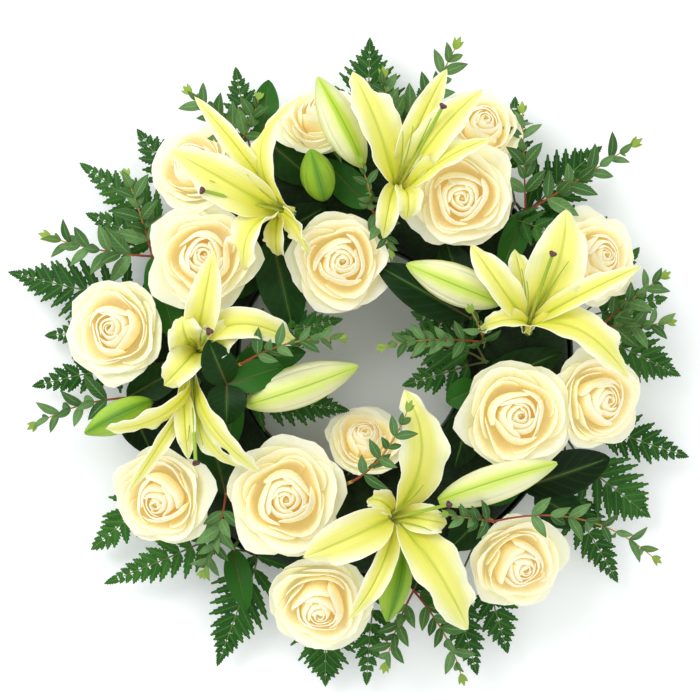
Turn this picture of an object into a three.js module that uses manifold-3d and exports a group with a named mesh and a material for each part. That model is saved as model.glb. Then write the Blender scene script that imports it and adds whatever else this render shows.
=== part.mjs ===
// Funeral wreath: a ring of floral foam in a plastic tray, with cream roses, pale yellow lilies and
// their buds, leatherleaf fern, small-leaved eucalyptus and salal leaves, each on a stem cut short and
// pushed into the foam. It lies on its tray, +Z up, in millimetres.
import * as THREE from "three";
import { mergeVertices } from "three/addons/utils/BufferGeometryUtils.js";
import Module from "manifold-3d";

const wasm = await Module();
wasm.setup();

// Driving dimensions
const MM_PER_PIXEL = 0.65; // places are read from a photograph taken from straight above
const RING_CENTRE = [352, 358]; // the ring's centre there, in its pixels
const TRAY_OUTER_RADIUS = 146;
const TRAY_INNER_RADIUS = 74;
const TRAY_WALL = 2;
const TRAY_HEIGHT = 20;
const FOAM_GAP = 0.4;
const FOAM_TOP = 48;
const RING_SIDES = 20;
const STEM_END = 14; // height of the cut ends inside the foam
const FROND_STEM_END = 24;
const FORK_RADIUS = 148; // the outer tufts fork just clear of the tray's rim
const FORK_HEIGHT = 33;
const FROND_ARCH = 4;
const FORK_CORNER = Math.PI / 4; // half the angle that a twig's foot takes at a fork
const CLEARANCE = 0.35; // air kept between neighbouring pieces
const HOLE_CLEARANCE = 0.35;
const ROSE_STEM_RADIUS = 2.8;
const LILY_STEM_RADIUS = 3;
const LILY_HEART_RADIUS = 6.5;
const BUD_STEM_RADIUS = 2;
const TWIG_RADIUS = 1.3;
const PETAL_THICKNESS = 1.2;
const LEAF_THICKNESS = 0.9;
const LEAF_ROWS = 3;
const TEPAL_ROWS = 4;
const DEGREE = Math.PI / 180;
const UP = new THREE.Vector3(0, 0, 1);

const COLOURS = {
  tray: { color: 0x1f3b24, roughness: 0.55 },
  foam: { color: 0x2f5a33, roughness: 0.95 },
  rose: { color: 0xf4e8c6, roughness: 0.6 },
  lily: { color: 0xf2eea0, roughness: 0.5 },
  bud: { color: 0xe3ea9a, roughness: 0.5 },
  greenBud: { color: 0x9cc63a, roughness: 0.5 },
  fern: { color: 0x2f7030, roughness: 0.6 },
  eucalyptus: { color: 0x54795a, roughness: 0.65 },
  salal: { color: 0x1d4a22, roughness: 0.35 },
};

// Rose heads: at = centre of the head, lean = compass angle and tilt of the way it faces, in degrees
const ROSES = [
  { name: "rose_inner_left", at: [205, 258, 77], radius: 35, lean: [150, 6], spin: 10 },
  { name: "rose_inner_top", at: [340, 263, 72], radius: 33.5, lean: [-80, 6], spin: 70 },
  { name: "rose_upper_right", at: [460, 196, 77], radius: 35, lean: [240, 5], spin: 140 },
  { name: "rose_right", at: [515, 417, 76], radius: 37, lean: [-20, 8], spin: 200 },
  { name: "rose_lower_left", at: [286, 496, 78], radius: 38, lean: [90, 2], spin: 260 },
  { name: "rose_far_upper_left", at: [196, 168, 62], radius: 30, lean: [130, 32], spin: 30 },
  { name: "rose_top", at: [321, 120, 58], radius: 30, lean: [100, 48], spin: 90 },
  { name: "rose_far_upper_right", at: [482, 128, 61], radius: 27, lean: [62, 30], spin: 160 },
  { name: "rose_far_right", at: [596, 258, 62], radius: 31, lean: [22, 34], spin: 220 },
  { name: "rose_far_right_lower", at: [597, 400, 59], radius: 32, lean: [-5, 27], spin: 280 },
  { name: "rose_lower_right", at: [516, 562, 62], radius: 32, lean: [-50, 26], spin: 340 },
  { name: "rose_bottom", at: [320, 602, 61], radius: 33.5, lean: [-98, 26], spin: 50 },
  { name: "rose_far_lower_left", at: [163, 496, 64], radius: 33, lean: [215, 20], spin: 110 },
  { name: "rose_far_left", at: [116, 331, 66], radius: 34, lean: [174, 22], spin: 170 },
  { name: "rose_hole_bottom", at: [366, 441, 58], radius: 26, lean: [80, 34], spin: 230 },
];

// Lilies: throat, the way the bloom faces, then each tepal by its middle and tip, with its width, the
// twist along it and how far its edges rise. stigma is the end of the style.
const LILIES = [
  {
    name: "lily_upper_left", throat: [278, 211, 80], lean: [168, 48], root: [262, 200],
    stigma: [205, 193, 108],
    filaments: [[225, 172, 106], [249, 177, 108], [212, 183, 106]],
    tepals: [
      { middle: [240, 152, 100], tip: [196, 99, 94], width: 15, twist: 30, cup: 0.3 },
      { middle: [262, 150, 106], tip: [304, 97, 86], width: 25, twist: -20, cup: -0.25 },
      { middle: [228, 184, 104], tip: [173, 153, 98], width: 32, twist: 0, cup: 0.25 },
      { middle: [250, 234, 103], tip: [245, 271, 97], width: 32, twist: 10, cup: 0.2 },
      { middle: [297, 228, 94], tip: [309, 256, 97], width: 17, twist: 40, cup: 0.35 },
      { middle: [276, 240, 92], tip: [278, 256, 84], width: 18, twist: 0, cup: 0.2 },
    ],
  },
  {
    name: "lily_upper_right", throat: [401, 184, 80], lean: [62, 42], root: [398, 205],
    stigma: [441, 111, 114],
    filaments: [[402, 135, 106], [412, 130, 108], [430, 122, 108]],
    tepals: [
      { middle: [378, 130, 103], tip: [353, 75, 98], width: 34, twist: 0, cup: 0.25 },
      { middle: [419, 126, 98], tip: [446, 72, 94], width: 20, twist: 10, cup: 0.3 },
      { middle: [440, 132, 104], tip: [481, 93, 98], width: 24, twist: 0, cup: 0.25 },
      { middle: [446, 160, 106], tip: [490, 141, 102], width: 18, twist: -10, cup: 0.25 },
      { middle: [389, 206, 98], tip: [383, 239, 90], width: 15, twist: 20, cup: 0.35 },
      { middle: [408, 200, 102], tip: [406, 222, 96], width: 18, twist: 0, cup: 0.3 },
    ],
  },
  {
    name: "lily_right", throat: [529, 318, 80], lean: [75, 38], root: [532, 338],
    stigma: [549, 256, 112],
    filaments: [[519, 270, 104], [524, 282, 106], [565, 263, 108]],
    tepals: [
      { middle: [556, 262, 102], tip: [564, 211, 97], width: 37, twist: 0, cup: 0.22 },
      { middle: [580, 294, 103], tip: [638, 267, 96], width: 16, twist: 10, cup: 0.35 },
      { middle: [579, 331, 103], tip: [626, 377, 94], width: 29, twist: 0, cup: 0.25 },
      { middle: [498, 286, 100], tip: [470, 246, 92], width: 22, twist: -15, cup: 0.3 },
      { middle: [504, 320, 98], tip: [477, 329, 88], width: 17, twist: 20, cup: 0.3 },
      { middle: [521, 284, 90], tip: [514, 250, 78], width: 18, twist: 0, cup: 0.2 },
    ],
  },
  {
    name: "lily_left", throat: [199, 346, 80], lean: [110, 12], root: [197, 352],
    stigma: [212, 332, 118],
    filaments: [[205, 330, 112], [222, 340, 110], [192, 338, 110]],
    tepals: [
      { middle: [206, 304, 106], tip: [216, 253, 108], width: 22, twist: 15, cup: 0.4 },
      { middle: [246, 324, 104], tip: [303, 346, 92], width: 21, twist: -10, cup: 0.3 },
      { middle: [187, 333, 104], tip: [184, 317, 100], width: 26, twist: 0, cup: 0.3 },
      { middle: [184, 366, 100], tip: [166, 385, 94], width: 22, twist: 10, cup: 0.3 },
      { middle: [225, 335, 98], tip: [236, 322, 96], width: 24, twist: 0, cup: 0.3 },
    ],
  },
  {
    name: "lily_left_lower", throat: [193, 392, 82], lean: [-88, 62], root: [200, 386],
    stigma: [198, 461, 104],
    filaments: [[190, 440, 100], [205, 444, 100], [196, 430, 102]],
    tepals: [
      { middle: [158, 418, 103], tip: [108, 428, 92], width: 21, twist: 0, cup: -0.2 },
      { middle: [216, 428, 106], tip: [261, 471, 100], width: 23, twist: 0, cup: -0.2 },
      { middle: [163, 442, 97], tip: [131, 490, 92], width: 12, twist: 20, cup: 0.3 },
      { middle: [208, 436, 92], tip: [240, 466, 90], width: 17, twist: 0, cup: 0.3 },
      { middle: [187, 425, 94], tip: [190, 458, 92], width: 14, twist: 0, cup: 0.2 },
    ],
  },
  {
    name: "lily_bottom", throat: [396, 516, 82], lean: [15, 36], root: [398, 512],
    stigma: [447, 502, 112],
    filaments: [[422, 483, 106], [430, 528, 104], [404, 497, 106]],
    tepals: [
      { middle: [421, 450, 104], tip: [404, 389, 98], width: 35, twist: -10, cup: 0.2 },
      { middle: [357, 532, 106], tip: [304, 555, 100], width: 30, twist: 0, cup: 0.2 },
      { middle: [438, 570, 103], tip: [467, 627, 90], width: 36, twist: 5, cup: 0.15 },
      { middle: [377, 574, 98], tip: [349, 616, 92], width: 16, twist: 20, cup: 0.35 },
      { middle: [428, 518, 94], tip: [446, 522, 88], width: 20, twist: 0, cup: 0.2 },
      { middle: [381, 499, 93], tip: [368, 498, 88], width: 16, twist: 0, cup: 0.2 },
    ],
  },
];

// Lily buds, from the stalk end to the closed tip, with the greatest width
const BUDS = [
  { name: "bud_hole_left", base: [247, 404, 82], tip: [358, 366, 84], width: 27, colour: "bud" },
  { name: "bud_right", base: [499, 303, 80], tip: [406, 265, 90], width: 26, colour: "bud" },
  { name: "bud_top", base: [362, 167, 78], tip: [318, 81, 100], width: 25, colour: "bud" },
  { name: "bud_lower_right", base: [438, 500, 84], tip: [555, 462, 90], width: 24, colour: "bud" },
  { name: "bud_green_top", base: [324, 199, 62], tip: [311, 152, 92], width: 22, colour: "greenBud" },
  { name: "bud_green_left", base: [152, 401, 70], tip: [86, 433, 76], width: 21, colour: "greenBud" },
  { name: "bud_green_bottom", base: [402, 549, 70], tip: [387, 620, 78], width: 21, colour: "greenBud" },
];

// Fern fronds, several to a tuft: each from where its blade begins to its tip, with its width in mm
const FERNS = [
  { name: "fern_left", root: [130, 335], fronds: [
    { from: [122, 300, 30], to: [8, 272, 18], width: 46, pairs: 7 },
    { from: [112, 330, 26], to: [45, 335, 12], width: 24, pairs: 4 },
    { from: [115, 366, 28], to: [32, 386, 16], width: 28, pairs: 5 },
  ] },
  { name: "fern_upper_left", root: [178, 225], fronds: [
    { from: [155, 218, 30], to: [81, 164, 22], width: 30, pairs: 5 },
    { from: [180, 190, 26], to: [137, 130, 20], width: 32, pairs: 5 },
    { from: [160, 245, 32], to: [88, 214, 30], width: 32, pairs: 5 },
  ] },
  { name: "fern_top_left", root: [262, 170], fronds: [
    { from: [247, 138, 30], to: [235, 69, 22], width: 28, pairs: 5 },
  ] },
  { name: "fern_top", root: [372, 165], fronds: [
    { from: [368, 125, 30], to: [370, 40, 24], width: 48, pairs: 5 },
    { from: [402, 135, 28], to: [438, 80, 22], width: 30, pairs: 4 },
  ] },
  { name: "fern_upper_right", root: [512, 205], fronds: [
    { from: [510, 165, 28], to: [517, 98, 22], width: 28, pairs: 5 },
    { from: [530, 208, 34], to: [600, 148, 30], width: 46, pairs: 5 },
    { from: [535, 222, 28], to: [618, 222, 24], width: 30, pairs: 5 },
    { from: [512, 216, 52], to: [562, 238, 60], width: 28, pairs: 4 },
  ] },
  { name: "fern_right", root: [568, 322], fronds: [
    { from: [600, 300, 30], to: [640, 250, 24], width: 22, pairs: 4 },
    { from: [605, 312, 26], to: [667, 298, 20], width: 26, pairs: 4 },
    { from: [600, 335, 28], to: [680, 374, 22], width: 44, pairs: 5 },
  ] },
  { name: "fern_lower_right", root: [578, 440], fronds: [
    { from: [606, 430, 26], to: [689, 457, 20], width: 32, pairs: 5 },
    { from: [590, 468, 28], to: [651, 517, 20], width: 46, pairs: 5 },
    { from: [572, 500, 26], to: [620, 583, 18], width: 34, pairs: 5 },
  ] },
  { name: "fern_bottom_right", root: [470, 545], fronds: [
    { from: [490, 590, 26], to: [509, 654, 16], width: 28, pairs: 4 },
    { from: [456, 598, 28], to: [478, 676, 18], width: 28, pairs: 5 },
  ] },
  { name: "fern_bottom", root: [352, 545], fronds: [
    { from: [372, 600, 26], to: [367, 685, 16], width: 28, pairs: 5 },
    { from: [325, 610, 26], to: [325, 687, 16], width: 46, pairs: 5 },
  ] },
  { name: "fern_lower_left", root: [245, 530], fronds: [
    { from: [256, 560, 30], to: [217, 666, 16], width: 48, pairs: 6 },
    { from: [215, 540, 26], to: [106, 585, 18], width: 34, pairs: 6 },
    { from: [150, 500, 24], to: [88, 552, 16], width: 32, pairs: 5 },
  ], leaves: [{ to: [246, 612, 42], width: 18, arch: 5 }] },
  { name: "fern_hole_right", root: [500, 362], fork: [486, 362, 58], fronds: [
    { from: [468, 352, 54], to: [398, 336, 60], width: 38, pairs: 5 },
    { from: [468, 366, 50], to: [408, 384, 52], width: 28, pairs: 4 },
    { from: [472, 340, 50], to: [416, 314, 54], width: 28, pairs: 4 },
  ] },
];

// Single broad leaves on one short twig, each from its base to its tip
const SALAL = [
  { name: "salal_inner_left", root: [262, 250], fork: [272, 238, 60], leaves: [
    { to: [293, 330, 54], width: 32, arch: 6 },
    { to: [326, 206, 52], width: 24, arch: 0 },
    { to: [226, 300, 52], width: 25, arch: -2, bare: 0.2 },
  ] },
  { name: "salal_left", root: [228, 378], fork: [228, 384, 88], leaves: [
    { to: [210, 340, 98], width: 23 },
    { to: [228, 424, 90], width: 26 },
    { to: [284, 366, 84], width: 21 },
  ], low: {
    fork: [226, 382, 57],
    leaves: [{ to: [232, 450, 52], width: 20, arch: 0 }],
    fronds: [{ from: [254, 396, 54], to: [344, 410, 52], width: 34, pairs: 4 }],
  } },
  { name: "salal_right", root: [478, 316], fork: [470, 318, 64], leaves: [
    { to: [376, 265, 70], width: 28, arch: 6 },
    { to: [446, 240, 53], width: 27, arch: -1, bare: 0.2 },
    { to: [518, 282, 53], width: 26, arch: 0 },
  ] },
  { name: "salal_hole_right", root: [480, 390], fork: [478, 388, 58], leaves: [
    { to: [446, 402, 62], width: 21 },
    { to: [562, 352, 52], width: 26, arch: 1 },
    { to: [454, 470, 52], width: 26, arch: -1, bare: 0.2 },
  ] },
  { name: "salal_lower_right", root: [524, 486], fork: [522, 488, 56], leaves: [
    { to: [611, 458, 50], width: 30, arch: 6 },
    { to: [588, 524, 46], width: 26, arch: -1, bare: 0.2 },
    { to: [466, 494, 52], width: 20, arch: 0 },
  ] },
  { name: "salal_top_left", root: [264, 158], fork: [262, 136, 50], leaves: [
    { to: [268, 78, 40], width: 18 },
    { to: [318, 184, 51], width: 28, arch: 1 },
  ] },
];

// Eucalyptus sprays: the twigs of each leave one fork and carry pairs of small leaves
const EUCALYPTUS = [
  { name: "eucalyptus_left", root: [172, 262], fork: [152, 256, 52], twigs: [
    { to: [47, 236, 44], bend: [100, 250, 54], pairs: 4, leaf: 20 },
    { to: [126, 176, 50], bend: [140, 214, 58], pairs: 3, leaf: 19 },
  ], leaves: [{ to: [178, 346, 57], width: 22, arch: 5 }] },
  { name: "eucalyptus_upper_left", root: [246, 165], fork: [240, 143, 50], twigs: [
    { to: [190, 92, 50], bend: [220, 120, 58], pairs: 3, leaf: 19 },
    { to: [258, 98, 50], bend: [252, 120, 56], pairs: 2, leaf: 17 },
  ] },
  { name: "eucalyptus_top", root: [392, 150], fork: [396, 128, 44], twigs: [
    { to: [456, 46, 50], bend: [428, 94, 52], pairs: 3, leaf: 20 },
    { to: [384, 76, 48], bend: [388, 104, 50], pairs: 3, leaf: 18 },
  ] },
  { name: "eucalyptus_upper_right", root: [530, 228], fork: [526, 212, 54], twigs: [
    { to: [634, 144, 52], bend: [578, 180, 62], pairs: 4, leaf: 20 },
    { to: [523, 110, 48], bend: [524, 162, 60], pairs: 3, leaf: 18 },
  ], leaves: [{ to: [500, 274, 54], width: 18, arch: 2 }] },
  { name: "eucalyptus_centre_top", root: [366, 206], fork: [370, 208, 66], twigs: [
    { to: [360, 164, 98], bend: [370, 196, 92], pairs: 3, leaf: 13 },
    { to: [390, 252, 76], bend: [382, 228, 78], pairs: 3, leaf: 14 },
  ], leaves: [{ to: [322, 158, 52], width: 22, arch: -3 }] },
  { name: "eucalyptus_right", root: [584, 330], fork: [602, 326, 44], twigs: [
    { to: [664, 277, 44], bend: [634, 298, 52], pairs: 3, leaf: 18 },
    { to: [670, 322, 42], bend: [636, 326, 50], pairs: 3, leaf: 18 },
  ] },
  { name: "eucalyptus_hole_right", root: [492, 340], fork: [482, 342, 66], twigs: [
    { to: [384, 347, 72], bend: [430, 340, 74], pairs: 4, leaf: 16 },
    { to: [470, 312, 98], bend: [480, 332, 88], pairs: 2, leaf: 16 },
  ] },
  { name: "eucalyptus_hole_left", root: [244, 366], fork: [242, 364, 98], twigs: [
    { to: [342, 339, 96], bend: [292, 343, 112], pairs: 4, leaf: 15 },
  ], low: {
    fork: [232, 366, 56],
    leaves: [{ to: [306, 352, 50], width: 22, arch: -2 }],
    fronds: [{ from: [258, 338, 53], to: [338, 320, 52], width: 30, pairs: 4 }],
  } },
  { name: "eucalyptus_far_left", root: [140, 392], fork: [126, 398, 50], twigs: [
    { to: [34, 425, 40], bend: [78, 406, 50], pairs: 3, leaf: 19 },
  ], leaves: [
    { to: [186, 364, 51], width: 23, arch: 1 },
    { to: [152, 456, 48], width: 25, arch: 1 },
  ] },
  { name: "eucalyptus_lower_left", root: [226, 470], fork: [226, 494, 64], twigs: [
    { to: [203, 572, 54], bend: [218, 534, 68], pairs: 4, leaf: 18 },
  ], leaves: [{ to: [206, 420, 53], width: 25, arch: -2 }] },
  { name: "eucalyptus_hole_bottom", root: [342, 488], fork: [352, 480, 94], twigs: [
    { to: [407, 408, 114], bend: [383, 452, 116], pairs: 3, leaf: 17 },
  ] },
  { name: "eucalyptus_lower_right", root: [478, 512], fork: [492, 520, 86], twigs: [
    { to: [446, 512, 106], bend: [470, 516, 102], pairs: 3, leaf: 14 },
    { to: [656, 560, 50], bend: [580, 518, 86], pairs: 4, leaf: 18 },
  ], low: { fork: [484, 516, 50], leaves: [{ to: [450, 550, 50], width: 24, arch: 0 }] } },
  { name: "eucalyptus_bottom", root: [408, 560], fork: [414, 592, 44], twigs: [
    { to: [462, 678, 42], bend: [444, 634, 50], pairs: 3, leaf: 18 },
    { to: [386, 666, 40], bend: [398, 626, 48], pairs: 3, leaf: 18 },
  ], leaves: [
    { to: [438, 534, 51], width: 23, arch: 1 },
    { to: [458, 606, 36], width: 18, arch: -2, bare: 0.15 },
  ] },
];

// A place given by its pixels and its height, in millimetres from the ring's centre
function place([x, y, z = 0]) {
  return new THREE.Vector3(
    (x - RING_CENTRE[0]) * MM_PER_PIXEL,
    (RING_CENTRE[1] - y) * MM_PER_PIXEL,
    z,
  );
}

// The nearest place inside the foam to a pixel, for the cut end of a stem
function inFoam([x, y], height = STEM_END, margin = 9) {
  const spot = place([x, y]);
  const radius = THREE.MathUtils.clamp(
    spot.length(),
    TRAY_INNER_RADIUS + TRAY_WALL + margin,
    TRAY_OUTER_RADIUS - TRAY_WALL - margin,
  );
  return spot.setLength(radius).setZ(height);
}

// The unit vector that leans by tilt degrees from upright towards the compass angle
function facing([compass, tilt]) {
  return new THREE.Vector3(
    Math.sin(tilt * DEGREE) * Math.cos(compass * DEGREE),
    Math.sin(tilt * DEGREE) * Math.sin(compass * DEGREE),
    Math.cos(tilt * DEGREE),
  );
}

function solidFromArrays(positions, faces) {
  return new wasm.Manifold(
    new wasm.Mesh({
      numProp: 3,
      vertProperties: new Float32Array(positions),
      triVerts: new Uint32Array(faces),
    }),
  );
}

// A closed three.js geometry as a solid, its doubled vertices merged
function solidFromGeometry(geometry, frame = new THREE.Matrix4()) {
  const bare = new THREE.BufferGeometry();
  bare.setAttribute("position", geometry.getAttribute("position"));
  if (geometry.index) bare.setIndex(geometry.index);
  bare.applyMatrix4(frame);
  const merged = mergeVertices(bare, 1e-3);
  const index = merged.index.array;
  const faces = [];
  for (let i = 0; i < index.length; i += 3) {
    const [a, b, c] = [index[i], index[i + 1], index[i + 2]];
    if (a !== b && b !== c && c !== a) faces.push(a, b, c);
  }
  return solidFromArrays(merged.attributes.position.array, faces);
}

// A sheet of triangles given an even thickness: both faces are alike, and a wall follows its edge
function thicken(points, triangles, thickness) {
  const normals = points.map(() => new THREE.Vector3());
  for (const [a, b, c] of triangles) {
    const face = points[b].clone().sub(points[a]).cross(points[c].clone().sub(points[a]));
    for (const corner of [a, b, c]) normals[corner].add(face);
  }
  const count = points.length;
  const positions = [];
  for (const side of [0.5, -0.5]) {
    points.forEach((point, i) => {
      const moved = point.clone().addScaledVector(normals[i].normalize(), side * thickness);
      positions.push(moved.x, moved.y, moved.z);
    });
  }
  const edges = new Set(triangles.flatMap(([a, b, c]) => [`${a},${b}`, `${b},${c}`, `${c},${a}`]));
  const faces = [];
  for (const [a, b, c] of triangles) {
    faces.push(a, b, c, a + count, c + count, b + count);
    for (const [from, to] of [[a, b], [b, c], [c, a]]) {
      if (edges.has(`${to},${from}`)) continue;
      faces.push(to, from, from + count, to, from + count, to + count);
    }
  }
  return solidFromArrays(positions, faces);
}

// Adds points to a sheet and gives their indices
function addPoints(sheet, points) {
  sheet.points.push(...points);
  return points.map((_, i) => sheet.points.length - points.length + i);
}

// Grows a strip from one edge of a sheet, row by row, each listed from the edge's start to its end; a
// last row of one point closes it. Gives the indices of all rows, the edge's own first.
function growStrip(sheet, edge, rows) {
  const grown = [edge];
  for (const row of rows) {
    const last = grown[grown.length - 1];
    const next = addPoints(sheet, row);
    if (next.length === 1) {
      for (let i = 1; i < last.length; i++) sheet.triangles.push([last[i], last[i - 1], next[0]]);
    } else if (next.length === last.length) {
      for (let i = 1; i < last.length; i++) {
        sheet.triangles.push([last[i], last[i - 1], next[i - 1]], [last[i], next[i - 1], next[i]]);
      }
    } else {
      sheet.triangles.push([last[0], next[0], next[1]], [last[1], last[0], next[1]]);
      sheet.triangles.push([last[1], next[1], next[2]]);
    }
    grown.push(next);
  }
  return grown;
}

// A flat polygon to grow strips from, its corners listed counterclockwise; gives its edges
function growBase(sheet, corners) {
  const ids = addPoints(sheet, corners);
  for (let i = 2; i < ids.length; i++) sheet.triangles.push([ids[0], ids[i - 1], ids[i]]);
  return ids.map((id, i) => [id, ids[(i + 1) % ids.length]]);
}

// A round stem through the given points
function stem(points, radius, sides, steps = points.length - 1) {
  const path =
    points.length === 2 ? new THREE.LineCurve3(...points) : new THREE.CatmullRomCurve3(points);
  const section = new THREE.Shape(
    Array.from({ length: sides }, (_, i) => {
      const angle = (2 * Math.PI * i) / sides;
      return new THREE.Vector2(radius * Math.cos(angle), radius * Math.sin(angle));
    }),
  );
  return solidFromGeometry(
    new THREE.ExtrudeGeometry(section, { extrudePath: path, steps, bevelEnabled: false }),
  );
}

// The curve that passes through the start, the middle and the end
function arc(start, middle, end) {
  const control = middle.clone().multiplyScalar(2);
  control.addScaledVector(start, -0.5).addScaledVector(end, -0.5);
  return new THREE.QuadraticBezierCurve3(start, control, end);
}

// Frames along a blade: tangent, side and the normal of its upper face, which looks along "front"
function framesAlong(curve, front, stations, twist = 0) {
  const reach = curve.getPoint(1).sub(curve.getPoint(0));
  const across = front.clone().cross(reach).normalize();
  return stations.map((s) => {
    const tangent = curve.getTangentAt(Math.min(Math.max(s, 0.001), 0.999));
    const side = across.clone().addScaledVector(tangent, -across.dot(tangent)).normalize();
    side.applyAxisAngle(tangent, twist * DEGREE * s);
    const normal = tangent.clone().cross(side);
    return { s, point: curve.getPointAt(s), tangent, side, normal };
  });
}

// The rows of a blade with a midrib: widthAt gives its half width along it, and cup lifts its edges
function bladeRows(curve, front, widthAt, { rows, cup, twist }, grow) {
  const stations = Array.from({ length: rows - 1 }, (_, i) => (i + 1) / rows);
  const across = framesAlong(curve, front, stations, twist).map(({ s, point, side, normal }) => {
    const half = widthAt(s) + grow;
    return [-1, 0, 1].map((hand) =>
      point.clone().addScaledVector(side, hand * half).addScaledVector(normal, hand * hand * cup * half),
    );
  });
  return [...across, [curve.getPoint(1).addScaledVector(curve.getTangent(1), grow)]];
}

const tepalHalfWidth = (width) => (s) => (width / 2) * Math.sin(Math.PI * s ** 0.9) ** 0.8;
const leafHalfWidth = (width) => (s) => (width / 2) * Math.sin(Math.PI * s ** 0.85) ** 0.7;

// A rose in shares of its radius: for each layer of petals the flat base that they grow from, their
// belly and their rim, each as radius and height
const ROSE_CENTRE = 0.72;
const ROSE_LAYERS = [
  { petals: 3, base: [0.12, 0.28], belly: [0.42, 0.86], rim: [0.2, 1.17], turn: 0, heart: true },
  { petals: 3, base: [0.2, 0.2], belly: [0.56, 0.62], rim: [0.68, 1.0], turn: 60 },
  { petals: 4, base: [0.27, 0.1], belly: [0.78, 0.46], rim: [1.0, 0.76], turn: 15 },
];
const ROSE_HEART = [[0, 0.21], [0.14, 0.6], [0.16, 1.05], [0, 1.22]];
const ROSE_ENVELOPE = [[0, -0.1], [0.94, 0.3], [1.13, 0.9], [0.74, 1.3], [0, 1.4]];
const ROSE_HEART_SIDES = 4;
const ROSE_ENVELOPE_SIDES = 10;
const BELLY_SPREAD = 0.92; // share of its angle that a petal fills there
const RIM_SPREAD = 0.6;
const RIM_DROP = 0.1;

// A lathed body from shares of the radius
function turned(profile, radius, sides, grow, frame) {
  const points = profile.map(([r, z]) =>
    r
      ? new THREE.Vector2(r * radius + grow, z * radius)
      : new THREE.Vector2(0, z * radius + grow * Math.sign(z - 0.5)),
  );
  const lathe = new THREE.LatheGeometry(points, sides);
  return solidFromGeometry(lathe.rotateX(Math.PI / 2), frame);
}

// One layer of cupped rose petals, all grown from one flat base
function roseLayer({ petals, base, belly, rim, turn, heart }, radius, frame) {
  const spot = (angle, [r, z]) => {
    const share = new THREE.Vector3(r * Math.cos(angle), r * Math.sin(angle), z);
    return share.multiplyScalar(radius).applyMatrix4(frame);
  };
  const step = (2 * Math.PI) / petals;
  const start = turn * DEGREE;
  const sheet = { points: [], triangles: [] };
  const corners = Array.from({ length: petals }, (_, i) => spot(start + (i - 0.5) * step, base));
  growBase(sheet, corners).forEach((edge, i) => {
    const middle = start + i * step;
    const across = heart ? [-1, 1] : [-1, 0, 1];
    const bellyRow = across.map((u) => spot(middle + (u * BELLY_SPREAD * step) / 2, belly));
    const rimRow = across.map((u) =>
      spot(middle + (u * RIM_SPREAD * step) / 2, [rim[0], rim[1] - RIM_DROP * u * u]),
    );
    growStrip(sheet, edge, [bellyRow, rimRow]);
  });
  return thicken(sheet.points, sheet.triangles, PETAL_THICKNESS);
}

// The turn that carries +Z to the way a bloom faces, at a given place
function pose(origin, direction, spin) {
  const turn = new THREE.Quaternion().setFromUnitVectors(UP, direction);
  turn.multiply(new THREE.Quaternion().setFromAxisAngle(UP, spin * DEGREE));
  return new THREE.Matrix4().compose(origin, turn, new THREE.Vector3(1, 1, 1));
}

const joined = (solids) => solids.reduce((whole, part) => whole.add(part));

// The largest body of a solid, without the loose scraps that a cut leaves
function largestBody(solid) {
  return solid.decompose().reduce((best, part) => (part.volume() > best.volume() ? part : best));
}

// Each maker returns { frame, build(grow), hole(grow), keepOut(grow) }: the piece's own frame, its solid,
// the part of it that stands in the foam, and what its neighbours are cut back from
function makeRose({ at, radius, lean, spin }) {
  const direction = facing(lean);
  const centre = place(at);
  const base = centre.clone().addScaledVector(direction, -ROSE_CENTRE * radius);
  const frame = pose(base, direction, spin);
  const start = base.clone().addScaledVector(direction, 0.22 * radius);
  const compass = lean[0] * DEGREE;
  const foot = [at[0] - 14 * Math.cos(compass), at[1] + 14 * Math.sin(compass)];
  const end = inFoam(foot, STEM_END, 14);
  const bloomStem = (grow) => stem([end, start], ROSE_STEM_RADIUS + grow, 3);
  const heart = (grow) => turned(ROSE_HEART, radius, ROSE_HEART_SIDES, grow, frame);
  const build = () =>
    joined([bloomStem(0), heart(0), ...ROSE_LAYERS.map((layer) => roseLayer(layer, radius, frame))]);
  const keepOut = (grow) =>
    turned(ROSE_ENVELOPE, radius, ROSE_ENVELOPE_SIDES, grow, frame).add(bloomStem(grow));
  return { frame, build, hole: bloomStem, keepOut };
}

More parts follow.
